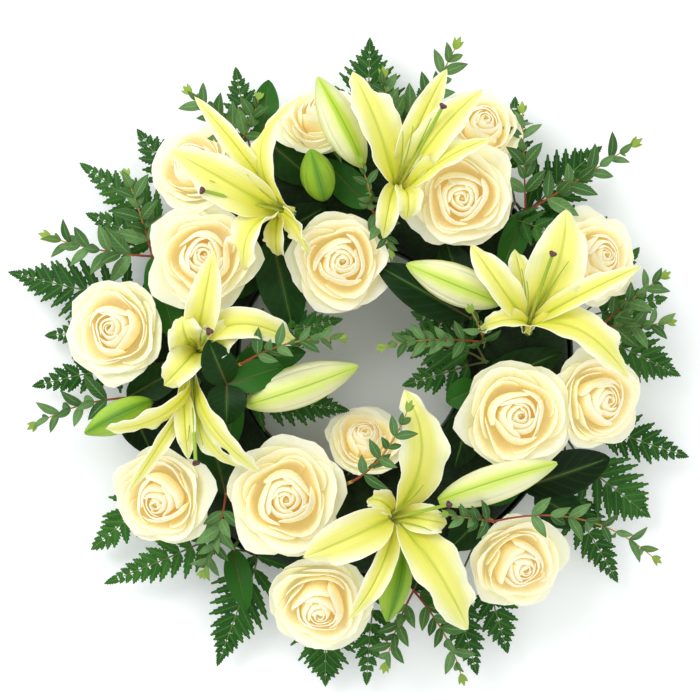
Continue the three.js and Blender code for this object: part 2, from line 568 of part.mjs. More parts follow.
// A lily: its tepals grow from the sides of a small flat base in the throat
function makeLily({ throat, lean, root, stigma, filaments, tepals }) {
  const direction = facing(lean);
  const heart = place(throat);
  const frame = pose(heart, direction, 0);
  const inverse = frame.clone().invert();
  const end = inFoam(root);
  const stalk = (grow) => stem([end, heart], LILY_STEM_RADIUS + grow, 3);
  const compass = (target) => {
    const local = target.clone().applyMatrix4(inverse);
    return Math.atan2(local.y, local.x);
  };
  const ordered = tepals
    .map((tepal) => ({ ...tepal, angle: compass(place(tepal.middle)) }))
    .sort((one, other) => one.angle - other.angle);
  const step = (2 * Math.PI) / ordered.length;
  const offset = ordered.reduce((sum, { angle }, i) => sum + (angle - i * step) / ordered.length, 0);
  const solid = (grow) => {
    const sheet = { points: [], triangles: [] };
    const corners = ordered.map((_, i) => {
      const angle = offset + (i - 0.5) * step;
      const r = LILY_HEART_RADIUS + grow;
      return new THREE.Vector3(r * Math.cos(angle), r * Math.sin(angle), 0).applyMatrix4(frame);
    });
    growBase(sheet, corners).forEach((edge, i) => {
      const tepal = ordered[i];
      const foot = corners[i].clone().lerp(corners[(i + 1) % corners.length], 0.5);
      const curve = arc(foot, place(tepal.middle), place(tepal.tip));
      const shape = { rows: TEPAL_ROWS, cup: tepal.cup, twist: tepal.twist };
      const rows = bladeRows(curve, direction, tepalHalfWidth(tepal.width), shape, grow);
      growStrip(sheet, edge, rows);
    });
    const solids = [thicken(sheet.points, sheet.triangles, PETAL_THICKNESS + 2 * grow), stalk(grow)];
    const style = place(stigma);
    const seat = heart.clone().addScaledVector(direction, -0.2);
    solids.push(stem([seat, style], 1.2 + grow, 3));
    const knob = new THREE.OctahedronGeometry(3 + grow);
    solids.push(solidFromGeometry(knob.translate(style.x, style.y, style.z)));
    for (const filament of filaments) {
      const tip = place(filament);
      const out = tip.clone().sub(heart);
      out.addScaledVector(direction, -out.dot(direction)).setLength(2.9);
      solids.push(stem([seat.clone().add(out), tip], 0.8 + grow, 3));
    }
    return joined(solids);
  };
  return { frame, build: solid, hole: stalk, keepOut: solid };
}

const BUD_PROFILE = [[0, 0.16], [0.14, 0.66], [0.4, 1], [0.7, 0.8], [1, 0.12]];

// A closed lily bud: three broad outer segments meet in blunt ridges
function makeBud({ base, tip, width }) {
  const start = place(base);
  const end = place(tip);
  const axis = end.clone().sub(start);
  const length = axis.length();
  const frame = pose(start, axis.normalize(), 0);
  const foot = inFoam(base);
  const stalk = (grow) => {
    const join = start.clone().addScaledVector(axis, 0.06 * length);
    return stem([foot, join], BUD_STEM_RADIUS + grow, 3);
  };
  const solid = (grow) => {
    const sides = 6;
    const positions = [];
    const faces = [];
    BUD_PROFILE.forEach(([along, wide]) => {
      for (let i = 0; i < sides; i++) {
        const angle = (2 * Math.PI * i) / sides;
        const ridge = 1 + (i % 2 ? -0.06 : 0.06);
        const r = 0.5 * width * wide * ridge + grow;
        const z = along * length + grow * Math.sign(along - 0.5);
        const corner = new THREE.Vector3(r * Math.cos(angle), r * Math.sin(angle), z);
        positions.push(...corner.applyMatrix4(frame).toArray());
      }
    });
    const rings = BUD_PROFILE.length;
    for (let ring = 0; ring < rings - 1; ring++) {
      for (let i = 0; i < sides; i++) {
        const a = ring * sides + i;
        const b = ring * sides + ((i + 1) % sides);
        faces.push(a, b, b + sides, a, b + sides, a + sides);
      }
    }
    const last = (rings - 1) * sides;
    for (let i = 1; i < sides - 1; i++) {
      faces.push(0, i + 1, i);
      faces.push(last, last + i, last + i + 1);
    }
    return solidFromArrays(positions, faces).add(stalk(grow));
  };
  return { frame, build: solid, hole: stalk, keepOut: solid };
}

// The edges of a small flat base from which ribs, twigs and leaves spring towards their targets, which
// are listed in turn. Targets close together share a corner.
function forkBase(sheet, centre, targets, half) {
  const angles = targets.map((target) => Math.atan2(target.y - centre.y, target.x - centre.x));
  const corners = [];
  const addCorner = (angle, reach) => {
    const out = new THREE.Vector3(Math.cos(angle), Math.sin(angle), 0);
    corners.push(centre.clone().addScaledVector(out, reach * half));
    return corners.length - 1;
  };
  const starts = [addCorner(angles[0] - FORK_CORNER, Math.SQRT2)];
  const ends = [];
  for (let i = 1; i < angles.length; i++) {
    const gap = (angles[i] - angles[i - 1] + 4 * Math.PI) % (2 * Math.PI);
    if (gap < 2 * FORK_CORNER + 0.2) {
      ends.push(addCorner(angles[i - 1] + gap / 2, 1.6));
      starts.push(ends[i - 1]);
    } else {
      ends.push(addCorner(angles[i - 1] + FORK_CORNER, Math.SQRT2));
      starts.push(addCorner(angles[i] - FORK_CORNER, Math.SQRT2));
    }
  }
  const last = angles.length - 1;
  ends.push(addCorner(angles[last] + FORK_CORNER, Math.SQRT2));
  const open = (angles[0] - angles[last] + 4 * Math.PI) % (2 * Math.PI) || 2 * Math.PI;
  if (open > 0.8 * Math.PI) addCorner(angles[last] + open / 2, 1.8);
  const [hub] = addPoints(sheet, [centre.clone()]);
  const ids = addPoints(sheet, corners);
  ids.forEach((id, i) => sheet.triangles.push([hub, id, ids[(i + 1) % ids.length]]));
  return targets.map((_, i) => [ids[starts[i]], ids[ends[i]]]);
}

// Targets in counterclockwise order as seen from a centre, beginning after the widest gap
function inTurn(centre, list, targetOf) {
  const marked = list.map((one) => {
    const out = targetOf(one).clone().sub(centre);
    return { one, angle: Math.atan2(out.y, out.x) };
  });
  marked.sort((a, b) => a.angle - b.angle);
  let widest = 0;
  let first = 0;
  marked.forEach(({ angle }, i) => {
    const before = marked[(i + marked.length - 1) % marked.length].angle;
    const gap = i === 0 ? angle - before + 2 * Math.PI : angle - before;
    if (gap > widest) [widest, first] = [gap, i];
  });
  return marked.map((_, i) => marked[(i + first) % marked.length].one);
}

// One fern frond, its outline cut to the rib between the leaflets. The bare rib runs from the top of
// the tuft's stalk to where the leaflets begin.
function growFrond(sheet, edge, fork, { from, to, width, pairs }, grow) {
  const [start, end] = [place(from), place(to)];
  const middle = start.clone().lerp(end, 0.5).addScaledVector(UP, FROND_ARCH);
  const line = new THREE.CatmullRomCurve3([fork, start, middle, end]);
  const bare = start.distanceTo(fork);
  const begin = bare / (bare + start.distanceTo(end));
  const stations = Array.from({ length: pairs + 1 }, (_, i) => begin + (1 - begin) * 0.93 * (i / pairs));
  const frames = framesAlong(line, UP, stations);
  const rib = 0.9 + grow;
  const rows = frames.map(({ point, side }) => [
    point.clone().addScaledVector(side, -rib),
    point.clone().addScaledVector(side, rib),
  ]);
  const grown = growStrip(sheet, edge, [...rows, [end]]);
  frames.slice(0, pairs).forEach(({ point, side, normal }, i) => {
    const step = frames[i + 1].point.clone().sub(point);
    const share = i / pairs;
    const length = (width / 2) * (1 - share ** 1.6) * (0.88 + 0.12 * Math.cos(2 * i)) + grow;
    const [here, next] = [grown[i + 1], grown[i + 2]];
    for (const hand of [-1, 1]) {
      const leaflet = point.clone().addScaledVector(step, 0.95);
      leaflet.addScaledVector(step.clone().normalize(), 0.32 * length);
      leaflet.addScaledVector(side, hand * length).addScaledVector(normal, -0.12 * length);
      growStrip(sheet, hand < 0 ? [here[0], next[0]] : [next[1], here[1]], [[leaflet]]);
    }
  });
}

// One broad leaf from a fork to its tip, on a bare stalk for the first share of its length
function growLeaf(sheet, edge, fork, { to, width, arch = 4, bare = 0 }, grow) {
  const tip = place(to);
  const curve = arc(fork, fork.clone().lerp(tip, 0.5).addScaledVector(UP, arch), tip);
  const blade = leafHalfWidth(width);
  const widthAt = (s) => (s > bare ? blade((s - bare) / (1 - bare)) : 0) + 0.6;
  const shape = { rows: LEAF_ROWS, cup: 0.18, twist: 0 };
  growStrip(sheet, edge, bladeRows(curve, UP, widthAt, shape, grow));
}

// One eucalyptus twig with its pairs of leaves
function growTwig(sheet, edge, fork, { to, bend, pairs, leaf }, grow) {
  const curve = arc(fork, place(bend), place(to));
  const joint = 1.8 / curve.getLength();
  const stations = [];
  for (let i = 0; i < pairs; i++) {
    const s = 0.2 + (0.76 * i) / pairs;
    stations.push(s, s + joint);
  }
  const frames = framesAlong(curve, UP, stations);
  const rows = frames.map(({ point, side, s }) => {
    const rib = 0.9 - 0.4 * s + grow;
    return [point.clone().addScaledVector(side, -rib), point.clone().addScaledVector(side, rib)];
  });
  const tip = curve.getPoint(1).addScaledVector(curve.getTangent(1), grow);
  const grown = growStrip(sheet, edge, [...rows, [tip]]);
  for (let i = 0; i < pairs; i++) {
    const { point, tangent, side, normal, s } = frames[2 * i];
    const size = leaf * (1 - 0.35 * s);
    const lift = i % 2 ? 0.35 : 0.05;
    const [here, next] = [grown[2 * i + 1], grown[2 * i + 2]];
    for (const hand of [-1, 1]) {
      const out = side.clone().multiplyScalar(hand * 0.8).addScaledVector(tangent, 0.6);
      out.addScaledVector(normal, lift).normalize();
      const across = tangent.clone().addScaledVector(out, -tangent.dot(out)).normalize();
      const far = point.clone().addScaledVector(out, 0.55 * size);
      far.addScaledVector(across, 0.3 * size + grow);
      const end = point.clone().addScaledVector(out, size + grow);
      const [farId, endId] = addPoints(sheet, [far, end]);
      if (hand < 0) {
        sheet.triangles.push([next[0], here[0], farId], [here[0], endId, farId]);
      } else {
        sheet.triangles.push([here[1], next[1], farId], [here[1], farId, endId]);
      }
    }
  }
}

// All that springs from one fork, each with its target and the way it grows from the fork's base
function membersOf(fork, { fronds = [], twigs = [], leaves = [] }, grow) {
  return [
    ...fronds.map((one) => [place(one.from), (sheet, edge) => growFrond(sheet, edge, fork, one, grow)]),
    ...twigs.map((one) => [place(one.bend), (sheet, edge) => growTwig(sheet, edge, fork, one, grow)]),
    ...leaves.map((one) => [place(one.to), (sheet, edge) => growLeaf(sheet, edge, fork, one, grow)]),
  ];
}

function forkSolid(fork, plant, grow) {
  const sheet = { points: [], triangles: [] };
  const members = inTurn(fork, membersOf(fork, plant, grow), ([target]) => target);
  const edges = forkBase(sheet, fork, members.map(([target]) => target), 2.2 + grow);
  members.forEach(([, growFrom], i) => growFrom(sheet, edges[i]));
  return thicken(sheet.points, sheet.triangles, LEAF_THICKNESS + 2 * grow);
}

// A foliage piece: a stalk in the foam, and what springs from its top and from a lower fork on it
function makeFoliage(plant) {
  const { root, fork, low } = plant;
  const end = inFoam(root, fork ? STEM_END : FROND_STEM_END);
  const top = fork ? place(fork) : inFoam(root).setZ(0).setLength(FORK_RADIUS).setZ(FORK_HEIGHT);
  const stalk = (grow) => stem([end, top.clone().addScaledVector(UP, 0.8)], TWIG_RADIUS + grow, 3);
  const solid = (grow) => {
    const forks = low ? [[top, plant], [place(low.fork), low]] : [[top, plant]];
    return joined([stalk(grow), ...forks.map(([at, carried]) => forkSolid(at, carried, grow))]);
  };
  return { frame: pose(end, UP, 0), build: solid, hole: stalk, keepOut: solid };
}

function ringOf(profile) {
  const points = profile.map(([r, z]) => new THREE.Vector2(r, z));
  const lathe = new THREE.LatheGeometry([...points, points[0]], RING_SIDES);
  return solidFromGeometry(lathe.rotateX(Math.PI / 2));
}

// The tray is a round gutter: floor, outer wall and inner wall
function trayRing() {
  const [outer, inner] = [TRAY_OUTER_RADIUS, TRAY_INNER_RADIUS];
  return ringOf([
    [inner, 0], [outer - 2, 0], [outer, TRAY_HEIGHT], [outer - TRAY_WALL, TRAY_HEIGHT],
    [outer - 2 - TRAY_WALL, TRAY_WALL], [inner + TRAY_WALL, TRAY_WALL],
    [inner + TRAY_WALL, TRAY_HEIGHT], [inner, TRAY_HEIGHT],
  ]);
}

function foamRing() {
  const outer = TRAY_OUTER_RADIUS - 2 - TRAY_WALL - FOAM_GAP;
  const inner = TRAY_INNER_RADIUS + TRAY_WALL + FOAM_GAP;
  const floor = TRAY_WALL + FOAM_GAP;
  const [shoulder, bevel] = [FOAM_TOP - 14, 12];
  return ringOf([
    [inner, floor], [outer, floor], [outer, shoulder], [outer - bevel, FOAM_TOP],
    [inner + bevel, FOAM_TOP], [inner, shoulder],
  ]);
}

// A lathed ring whose profile runs the wrong way would have its faces turned in
function outward(solid) {
  if (solid.volume() >= 0) return solid;
  throw new Error("a ring's profile runs the wrong way round");
}

const wreath = new THREE.Group();

function material(colour) {
  return new THREE.MeshStandardMaterial({ metalness: 0, side: THREE.FrontSide, ...COLOURS[colour] });
}

// Adds a solid as a mesh whose geometry is in the piece's own frame
function addMesh(name, solid, frame, colour) {
  const { vertProperties, numProp, triVerts } = solid.getMesh();
  const geometry = new THREE.BufferGeometry();
  const positions = new Float32Array((vertProperties.length / numProp) * 3);
  for (let i = 0; i < positions.length / 3; i++) {
    positions.set(vertProperties.subarray(i * numProp, i * numProp + 3), 3 * i);
  }
  geometry.setAttribute("position", new THREE.BufferAttribute(positions, 3));
  geometry.setIndex(new THREE.BufferAttribute(new Uint32Array(triVerts), 1));
  geometry.applyMatrix4(frame.clone().invert());
  geometry.computeVertexNormals();
  const mesh = new THREE.Mesh(geometry, material(colour));
  mesh.name = name;
  frame.decompose(mesh.position, mesh.quaternion, mesh.scale);
  wreath.add(mesh);
}

// Earlier pieces keep their shape, and each later one is cut back from those that it would cross
const pieces = [
  ...LILIES.map((one) => ({ name: one.name, colour: "lily", ...makeLily(one) })),
  ...ROSES.map((one) => ({ name: one.name, colour: "rose", ...makeRose(one) })),
  ...BUDS.map((one) => ({ name: one.name, colour: one.colour, ...makeBud(one) })),
  ...SALAL.map((one) => ({ name: one.name, colour: "salal", ...makeFoliage(one) })),
  ...EUCALYPTUS.map((one) => ({ name: one.name, colour: "eucalyptus", ...makeFoliage(one) })),
  ...FERNS.map((one) => ({ name: one.name, colour: "fern", ...makeFoliage(one) })),
];

let foam = outward(foamRing());
const placed = [];
for (const piece of pieces) {
  let solid = piece.build(0);
  for (const other of placed) {
    const common = solid.intersect(other.keepOut);
    if (common.volume() > 0) solid = solid.subtract(other.keepOut);
  }
  solid = largestBody(solid);
  foam = foam.subtract(piece.hole(HOLE_CLEARANCE));
  placed.push({ name: piece.name, keepOut: piece.keepOut(CLEARANCE) });
  addMesh(piece.name, solid, piece.frame, piece.colour);
}
addMesh("foam_ring", largestBody(foam), new THREE.Matrix4(), "foam");
addMesh("tray", outward(trayRing()), new THREE.Matrix4(), "tray");

// The part's origin is under the middle of its outline, on the surface that the tray rests on
const outline = new THREE.Box3().setFromObject(wreath, true);
const middle = outline.getCenter(new THREE.Vector3());
wreath.position.set(-middle.x, -middle.y, -outline.min.z);
const group = new THREE.Group();
group.name = "funeral_wreath";
group.add(wreath);

export default group;
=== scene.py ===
import math

import bpy
import numpy as np
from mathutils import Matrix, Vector


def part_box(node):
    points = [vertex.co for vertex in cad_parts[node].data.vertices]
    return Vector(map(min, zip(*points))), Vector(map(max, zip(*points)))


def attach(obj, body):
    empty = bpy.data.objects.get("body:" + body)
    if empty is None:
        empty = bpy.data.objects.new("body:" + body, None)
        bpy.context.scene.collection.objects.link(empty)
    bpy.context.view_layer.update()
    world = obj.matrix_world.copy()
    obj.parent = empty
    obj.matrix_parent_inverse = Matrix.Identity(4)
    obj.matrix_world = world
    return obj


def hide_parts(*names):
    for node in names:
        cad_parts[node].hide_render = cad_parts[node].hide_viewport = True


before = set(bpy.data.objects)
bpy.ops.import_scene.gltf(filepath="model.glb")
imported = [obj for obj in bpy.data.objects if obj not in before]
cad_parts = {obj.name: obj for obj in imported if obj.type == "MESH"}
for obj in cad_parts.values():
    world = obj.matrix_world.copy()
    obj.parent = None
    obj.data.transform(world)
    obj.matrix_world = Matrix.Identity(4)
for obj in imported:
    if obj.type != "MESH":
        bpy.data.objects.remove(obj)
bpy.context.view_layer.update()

# Funeral wreath. The flowers and the foliage follow the same places as the solids that they replace:
# pixels of a picture taken from straight above, and heights in millimetres.
MM = 0.001
PIXEL = 0.65 * MM
RING_CENTRE = (352, 358)
TRAY_OUTER_RADIUS = 146 * MM
TRAY_INNER_RADIUS = 74 * MM
TRAY_WALL = 2 * MM
TRAY_FLARE = 2 * MM  # how much narrower the tray's outer wall is at its foot
TRAY_HEIGHT = 20 * MM
FOAM_GAP = 0.4 * MM
FOAM_TOP = 48 * MM
FOAM_SHOULDER = 12 * MM
FOAM_ROUNDING = 6 * MM
TRAY_ROUNDING = 1.2 * MM
RING_STEPS = 120
STEM_END = 14 * MM
FROND_STEM_END = 24 * MM
FORK_RADIUS = 148 * MM
FORK_HEIGHT = 33 * MM
FROND_ARCH = 4 * MM
PETAL_THICKNESS = 0.5 * MM
LEAF_THICKNESS = 0.4 * MM
BLADE_TIP = 0.12 * MM  # half width that a blade ends with
MERGE_DISTANCE = 0.02 * MM
UP = np.array([0.0, 0.0, 1.0])

tray_low, tray_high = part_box("tray")
ring_middle = np.array((tray_low + tray_high) / 2)
ring_middle[2] = 0

# Roses: name, centre of the head, its radius in mm, the way it faces (compass angle and tilt in
# degrees) and its spin
ROSES = (
    ("rose_inner_left", (205, 258, 77), 35, (150, 6), 10),
    ("rose_inner_top", (340, 263, 72), 33.5, (-80, 6), 70),
    ("rose_upper_right", (460, 196, 77), 35, (240, 5), 140),
    ("rose_right", (515, 417, 76), 37, (-20, 8), 200),
    ("rose_lower_left", (286, 496, 78), 38, (90, 2), 260),
    ("rose_far_upper_left", (196, 168, 62), 30, (130, 32), 30),
    ("rose_top", (321, 120, 58), 30, (100, 48), 90),
    ("rose_far_upper_right", (482, 128, 61), 27, (62, 30), 160),
    ("rose_far_right", (596, 258, 62), 31, (22, 34), 220),
    ("rose_far_right_lower", (597, 400, 59), 32, (-5, 27), 280),
    ("rose_lower_right", (516, 562, 62), 32, (-50, 26), 340),
    ("rose_bottom", (320, 602, 61), 33.5, (-98, 26), 50),
    ("rose_far_lower_left", (163, 496, 64), 33, (215, 20), 110),
    ("rose_far_left", (116, 331, 66), 34, (174, 22), 170),
    ("rose_hole_bottom", (366, 441, 58), 26, (80, 34), 230),
)

# Lilies: name, throat, the way the bloom faces, where it enters the foam, the end of the style and of
# each filament, then each tepal: its middle and tip, its width in mm, the twist along it in degrees
# and how far its edges rise, in shares of its half width
LILIES = (
    ("lily_upper_left", (278, 211, 80), (168, 48), (262, 200), (205, 193, 108),
     ((225, 172, 106), (249, 177, 108), (212, 183, 106)), (
         ((240, 152, 100), (196, 99, 94), 15, 30, 0.3),
         ((262, 150, 106), (304, 97, 86), 25, -20, -0.25),
         ((228, 184, 104), (173, 153, 98), 32, 0, 0.25),
         ((250, 234, 103), (245, 271, 97), 32, 10, 0.2),
         ((297, 228, 94), (309, 256, 97), 17, 40, 0.35),
         ((276, 240, 92), (278, 256, 84), 18, 0, 0.2),
     )),
    ("lily_upper_right", (401, 184, 80), (62, 42), (398, 205), (441, 111, 114),
     ((402, 135, 106), (412, 130, 108), (430, 122, 108)), (
         ((378, 130, 103), (353, 75, 98), 34, 0, 0.25),
         ((419, 126, 98), (446, 72, 94), 20, 10, 0.3),
         ((440, 132, 104), (481, 93, 98), 24, 0, 0.25),
         ((446, 160, 106), (490, 141, 102), 18, -10, 0.25),
         ((389, 206, 98), (383, 239, 90), 15, 20, 0.35),
         ((408, 200, 102), (406, 222, 96), 18, 0, 0.3),
     )),
    ("lily_right", (529, 318, 80), (75, 38), (532, 338), (549, 256, 112),
     ((519, 270, 104), (524, 282, 106), (565, 263, 108)), (
         ((556, 262, 102), (564, 211, 97), 37, 0, 0.22),
         ((580, 294, 103), (638, 267, 96), 16, 10, 0.35),
         ((579, 331, 103), (626, 377, 94), 29, 0, 0.25),
         ((498, 286, 100), (470, 246, 92), 22, -15, 0.3),
         ((504, 320, 98), (477, 329, 88), 17, 20, 0.3),
         ((521, 284, 90), (514, 250, 78), 18, 0, 0.2),
     )),
    ("lily_left", (199, 346, 80), (110, 12), (197, 352), (212, 332, 118),
     ((205, 330, 112), (222, 340, 110), (192, 338, 110)), (
         ((206, 304, 106), (216, 253, 108), 22, 15, 0.4),
         ((246, 324, 104), (303, 346, 92), 21, -10, 0.3),
         ((187, 333, 104), (184, 317, 100), 26, 0, 0.3),
         ((184, 366, 100), (166, 385, 94), 22, 10, 0.3),
         ((225, 335, 98), (236, 322, 96), 24, 0, 0.3),
     )),
    ("lily_left_lower", (193, 392, 82), (-88, 62), (200, 386), (198, 461, 104),
     ((190, 440, 100), (205, 444, 100), (196, 430, 102)), (
         ((158, 418, 103), (108, 428, 92), 21, 0, -0.2),
         ((216, 428, 106), (261, 471, 100), 23, 0, -0.2),
         ((163, 442, 97), (131, 490, 92), 12, 20, 0.3),
         ((208, 436, 92), (240, 466, 90), 17, 0, 0.3),
         ((187, 425, 94), (190, 458, 92), 14, 0, 0.2),
     )),
    ("lily_bottom", (396, 516, 82), (15, 36), (398, 512), (447, 502, 112),
     ((422, 483, 106), (430, 528, 104), (404, 497, 106)), (
         ((421, 450, 104), (404, 389, 98), 35, -10, 0.2),
         ((357, 532, 106), (304, 555, 100), 30, 0, 0.2),
         ((438, 570, 103), (467, 627, 90), 36, 5, 0.15),
         ((377, 574, 98), (349, 616, 92), 16, 20, 0.35),
         ((428, 518, 94), (446, 522, 88), 20, 0, 0.2),
         ((381, 499, 93), (368, 498, 88), 16, 0, 0.2),
     )),
)

# Lily buds: name, stalk end, closed tip, greatest width in mm, slot and strength of the green bands
BUDS = (
    ("bud_hole_left", (247, 404, 82), (358, 366, 84), 27, "bud", 0.35),
    ("bud_right", (499, 303, 80), (406, 265, 90), 26, "bud", 0.7),
    ("bud_top", (362, 167, 78), (318, 81, 100), 25, "bud", 1.0),
    ("bud_lower_right", (438, 500, 84), (555, 462, 90), 24, "bud", 0.6),
    ("bud_green_top", (324, 199, 62), (311, 152, 92), 22, "green_bud", 1.0),
    ("bud_green_left", (152, 401, 70), (86, 433, 76), 21, "green_bud", 1.0),
    ("bud_green_bottom", (402, 549, 70), (387, 620, 78), 21, "green_bud", 1.0),
)

# What grows on a stalk: its name, its root in the foam and its fork if that is not at the ring's edge,
# then its fronds (start of the blade, tip, width in mm), twigs (tip, bend, pairs, leaf length in mm)
# and broad leaves (tip, width in mm, height of the arch in mm, bare share of the length)
FERNS = (
    {"name": "fern_left", "root": (130, 335),
     "fronds": (
         ((122, 300, 30), (8, 272, 18), 46),
         ((112, 330, 26), (45, 335, 12), 24),
         ((115, 366, 28), (32, 386, 16), 28),
     )},
    {"name": "fern_upper_left", "root": (178, 225),
     "fronds": (
         ((155, 218, 30), (81, 164, 22), 30),
         ((180, 190, 26), (137, 130, 20), 32),
         ((160, 245, 32), (88, 214, 30), 32),
     )},
    {"name": "fern_top_left", "root": (262, 170),
     "fronds": (((247, 138, 30), (235, 69, 22), 28),)},
    {"name": "fern_top", "root": (372, 165),
     "fronds": (((368, 125, 30), (370, 40, 24), 48), ((402, 135, 28), (438, 80, 22), 30))},
    {"name": "fern_upper_right", "root": (512, 205),
     "fronds": (
         ((510, 165, 28), (517, 98, 22), 28),
         ((530, 208, 34), (600, 148, 30), 46),
         ((535, 222, 28), (618, 222, 24), 30),
         ((512, 216, 52), (562, 238, 60), 28),
     )},
    {"name": "fern_right", "root": (568, 322),
     "fronds": (
         ((600, 300, 30), (640, 250, 24), 22),
         ((605, 312, 26), (667, 298, 20), 26),
         ((600, 335, 28), (680, 374, 22), 44),
     )},
    {"name": "fern_lower_right", "root": (578, 440),
     "fronds": (
         ((606, 430, 26), (689, 457, 20), 32),
         ((590, 468, 28), (651, 517, 20), 46),
         ((572, 500, 26), (620, 583, 18), 34),
     )},
    {"name": "fern_bottom_right", "root": (470, 545),
     "fronds": (((490, 590, 26), (509, 654, 16), 28), ((456, 598, 28), (478, 676, 18), 28))},
    {"name": "fern_bottom", "root": (352, 545),
     "fronds": (((372, 600, 26), (367, 685, 16), 28), ((325, 610, 26), (325, 687, 16), 46))},
    {"name": "fern_lower_left", "root": (245, 530),
     "fronds": (
         ((256, 560, 30), (217, 666, 16), 48),
         ((215, 540, 26), (106, 585, 18), 34),
         ((150, 500, 24), (88, 552, 16), 32),
     ),
     "leaves": (((246, 612, 42), 18, 5, 0),)},
    {"name": "fern_hole_right", "root": (500, 362), "fork": (486, 362, 58),
     "fronds": (
         ((468, 352, 54), (398, 336, 60), 38),
         ((468, 366, 50), (408, 384, 52), 28),
         ((472, 340, 50), (416, 314, 54), 28),
     )},
)
SALAL = (
    {"name": "salal_inner_left", "root": (262, 250), "fork": (272, 238, 60),
     "leaves": (((293, 330, 54), 32, 6, 0), ((326, 206, 52), 24, 0, 0), ((226, 300, 52), 25, -2, 0.2))},
    {"name": "salal_left", "root": (228, 378), "fork": (228, 384, 88),
     "leaves": (((210, 340, 98), 23, 4, 0), ((228, 424, 90), 26, 4, 0), ((284, 366, 84), 21, 4, 0)),
     "low": {"fork": (226, 382, 57),
             "fronds": (((254, 396, 54), (344, 410, 52), 34),),
             "leaves": (((232, 450, 52), 20, 0, 0),)}},
    {"name": "salal_right", "root": (478, 316), "fork": (470, 318, 64),
     "leaves": (((376, 265, 70), 28, 6, 0), ((446, 240, 53), 27, -1, 0.2), ((518, 282, 53), 26, 0, 0))},
    {"name": "salal_hole_right", "root": (480, 390), "fork": (478, 388, 58),
     "leaves": (((446, 402, 62), 21, 4, 0), ((562, 352, 52), 26, 1, 0), ((454, 470, 52), 26, -1, 0.2))},
    {"name": "salal_lower_right", "root": (524, 486), "fork": (522, 488, 56),
     "leaves": (((611, 458, 50), 30, 6, 0), ((588, 524, 46), 26, -1, 0.2), ((466, 494, 52), 20, 0, 0))},
    {"name": "salal_top_left", "root": (264, 158), "fork": (262, 136, 50),
     "leaves": (((268, 78, 40), 18, 4, 0), ((318, 184, 51), 28, 1, 0))},
)
EUCALYPTUS = (
    {"name": "eucalyptus_left", "root": (172, 262), "fork": (152, 256, 52),
     "twigs": (((47, 236, 44), (100, 250, 54), 4, 20), ((126, 176, 50), (140, 214, 58), 3, 19)),
     "leaves": (((178, 346, 57), 22, 5, 0),)},
    {"name": "eucalyptus_upper_left", "root": (246, 165), "fork": (240, 143, 50),
     "twigs": (((190, 92, 50), (220, 120, 58), 3, 19), ((258, 98, 50), (252, 120, 56), 2, 17))},
    {"name": "eucalyptus_top", "root": (392, 150), "fork": (396, 128, 44),
     "twigs": (((456, 46, 50), (428, 94, 52), 3, 20), ((384, 76, 48), (388, 104, 50), 3, 18))},
    {"name": "eucalyptus_upper_right", "root": (530, 228), "fork": (526, 212, 54),
     "twigs": (((634, 144, 52), (578, 180, 62), 4, 20), ((523, 110, 48), (524, 162, 60), 3, 18)),
     "leaves": (((500, 274, 54), 18, 2, 0),)},
    {"name": "eucalyptus_centre_top", "root": (366, 206), "fork": (370, 208, 66),
     "twigs": (((360, 164, 98), (370, 196, 92), 3, 13), ((390, 252, 76), (382, 228, 78), 3, 14)),
     "leaves": (((322, 158, 52), 22, -3, 0),)},
    {"name": "eucalyptus_right", "root": (584, 330), "fork": (602, 326, 44),
     "twigs": (((664, 277, 44), (634, 298, 52), 3, 18), ((670, 322, 42), (636, 326, 50), 3, 18))},
    {"name": "eucalyptus_hole_right", "root": (492, 340), "fork": (482, 342, 66),
     "twigs": (((384, 347, 72), (430, 340, 74), 4, 16), ((470, 312, 98), (480, 332, 88), 2, 16))},
    {"name": "eucalyptus_hole_left", "root": (244, 366), "fork": (242, 364, 98),
     "twigs": (((342, 339, 96), (292, 343, 112), 4, 15),),
     "low": {"fork": (232, 366, 56),
             "fronds": (((258, 338, 53), (338, 320, 52), 30),),
             "leaves": (((306, 352, 50), 22, -2, 0),)}},
    {"name": "eucalyptus_far_left", "root": (140, 392), "fork": (126, 398, 50),
     "twigs": (((34, 425, 40), (78, 406, 50), 3, 19),),
     "leaves": (((186, 364, 51), 23, 1, 0), ((152, 456, 48), 25, 1, 0))},
    {"name": "eucalyptus_lower_left", "root": (226, 470), "fork": (226, 494, 64),
     "twigs": (((203, 572, 54), (218, 534, 68), 4, 18),),
     "leaves": (((206, 420, 53), 25, -2, 0),)},
    {"name": "eucalyptus_hole_bottom", "root": (342, 488), "fork": (352, 480, 94),
     "twigs": (((407, 408, 114), (383, 452, 116), 3, 17),)},
    {"name": "eucalyptus_lower_right", "root": (478, 512), "fork": (492, 520, 86),
     "twigs": (((446, 512, 106), (470, 516, 102), 3, 14), ((656, 560, 50), (580, 518, 86), 4, 18)),
     "low": {"fork": (484, 516, 50),
             "leaves": (((450, 550, 50), 24, 0, 0),)}},
    {"name": "eucalyptus_bottom", "root": (408, 560), "fork": (414, 592, 44),
     "twigs": (((462, 678, 42), (444, 634, 50), 3, 18), ((386, 666, 40), (398, 626, 48), 3, 18)),
     "leaves": (((438, 534, 51), 23, 1, 0), ((458, 606, 36), 18, -2, 0.15))},
)


def place(spot):
    """The place of a pixel and a height in millimetres, in metres in the wreath's frame."""
    x, y = (spot[0] - RING_CENTRE[0]) * PIXEL, (RING_CENTRE[1] - spot[1]) * PIXEL
    return ring_middle + np.array([x, y, (spot[2] if len(spot) > 2 else 0) * MM])


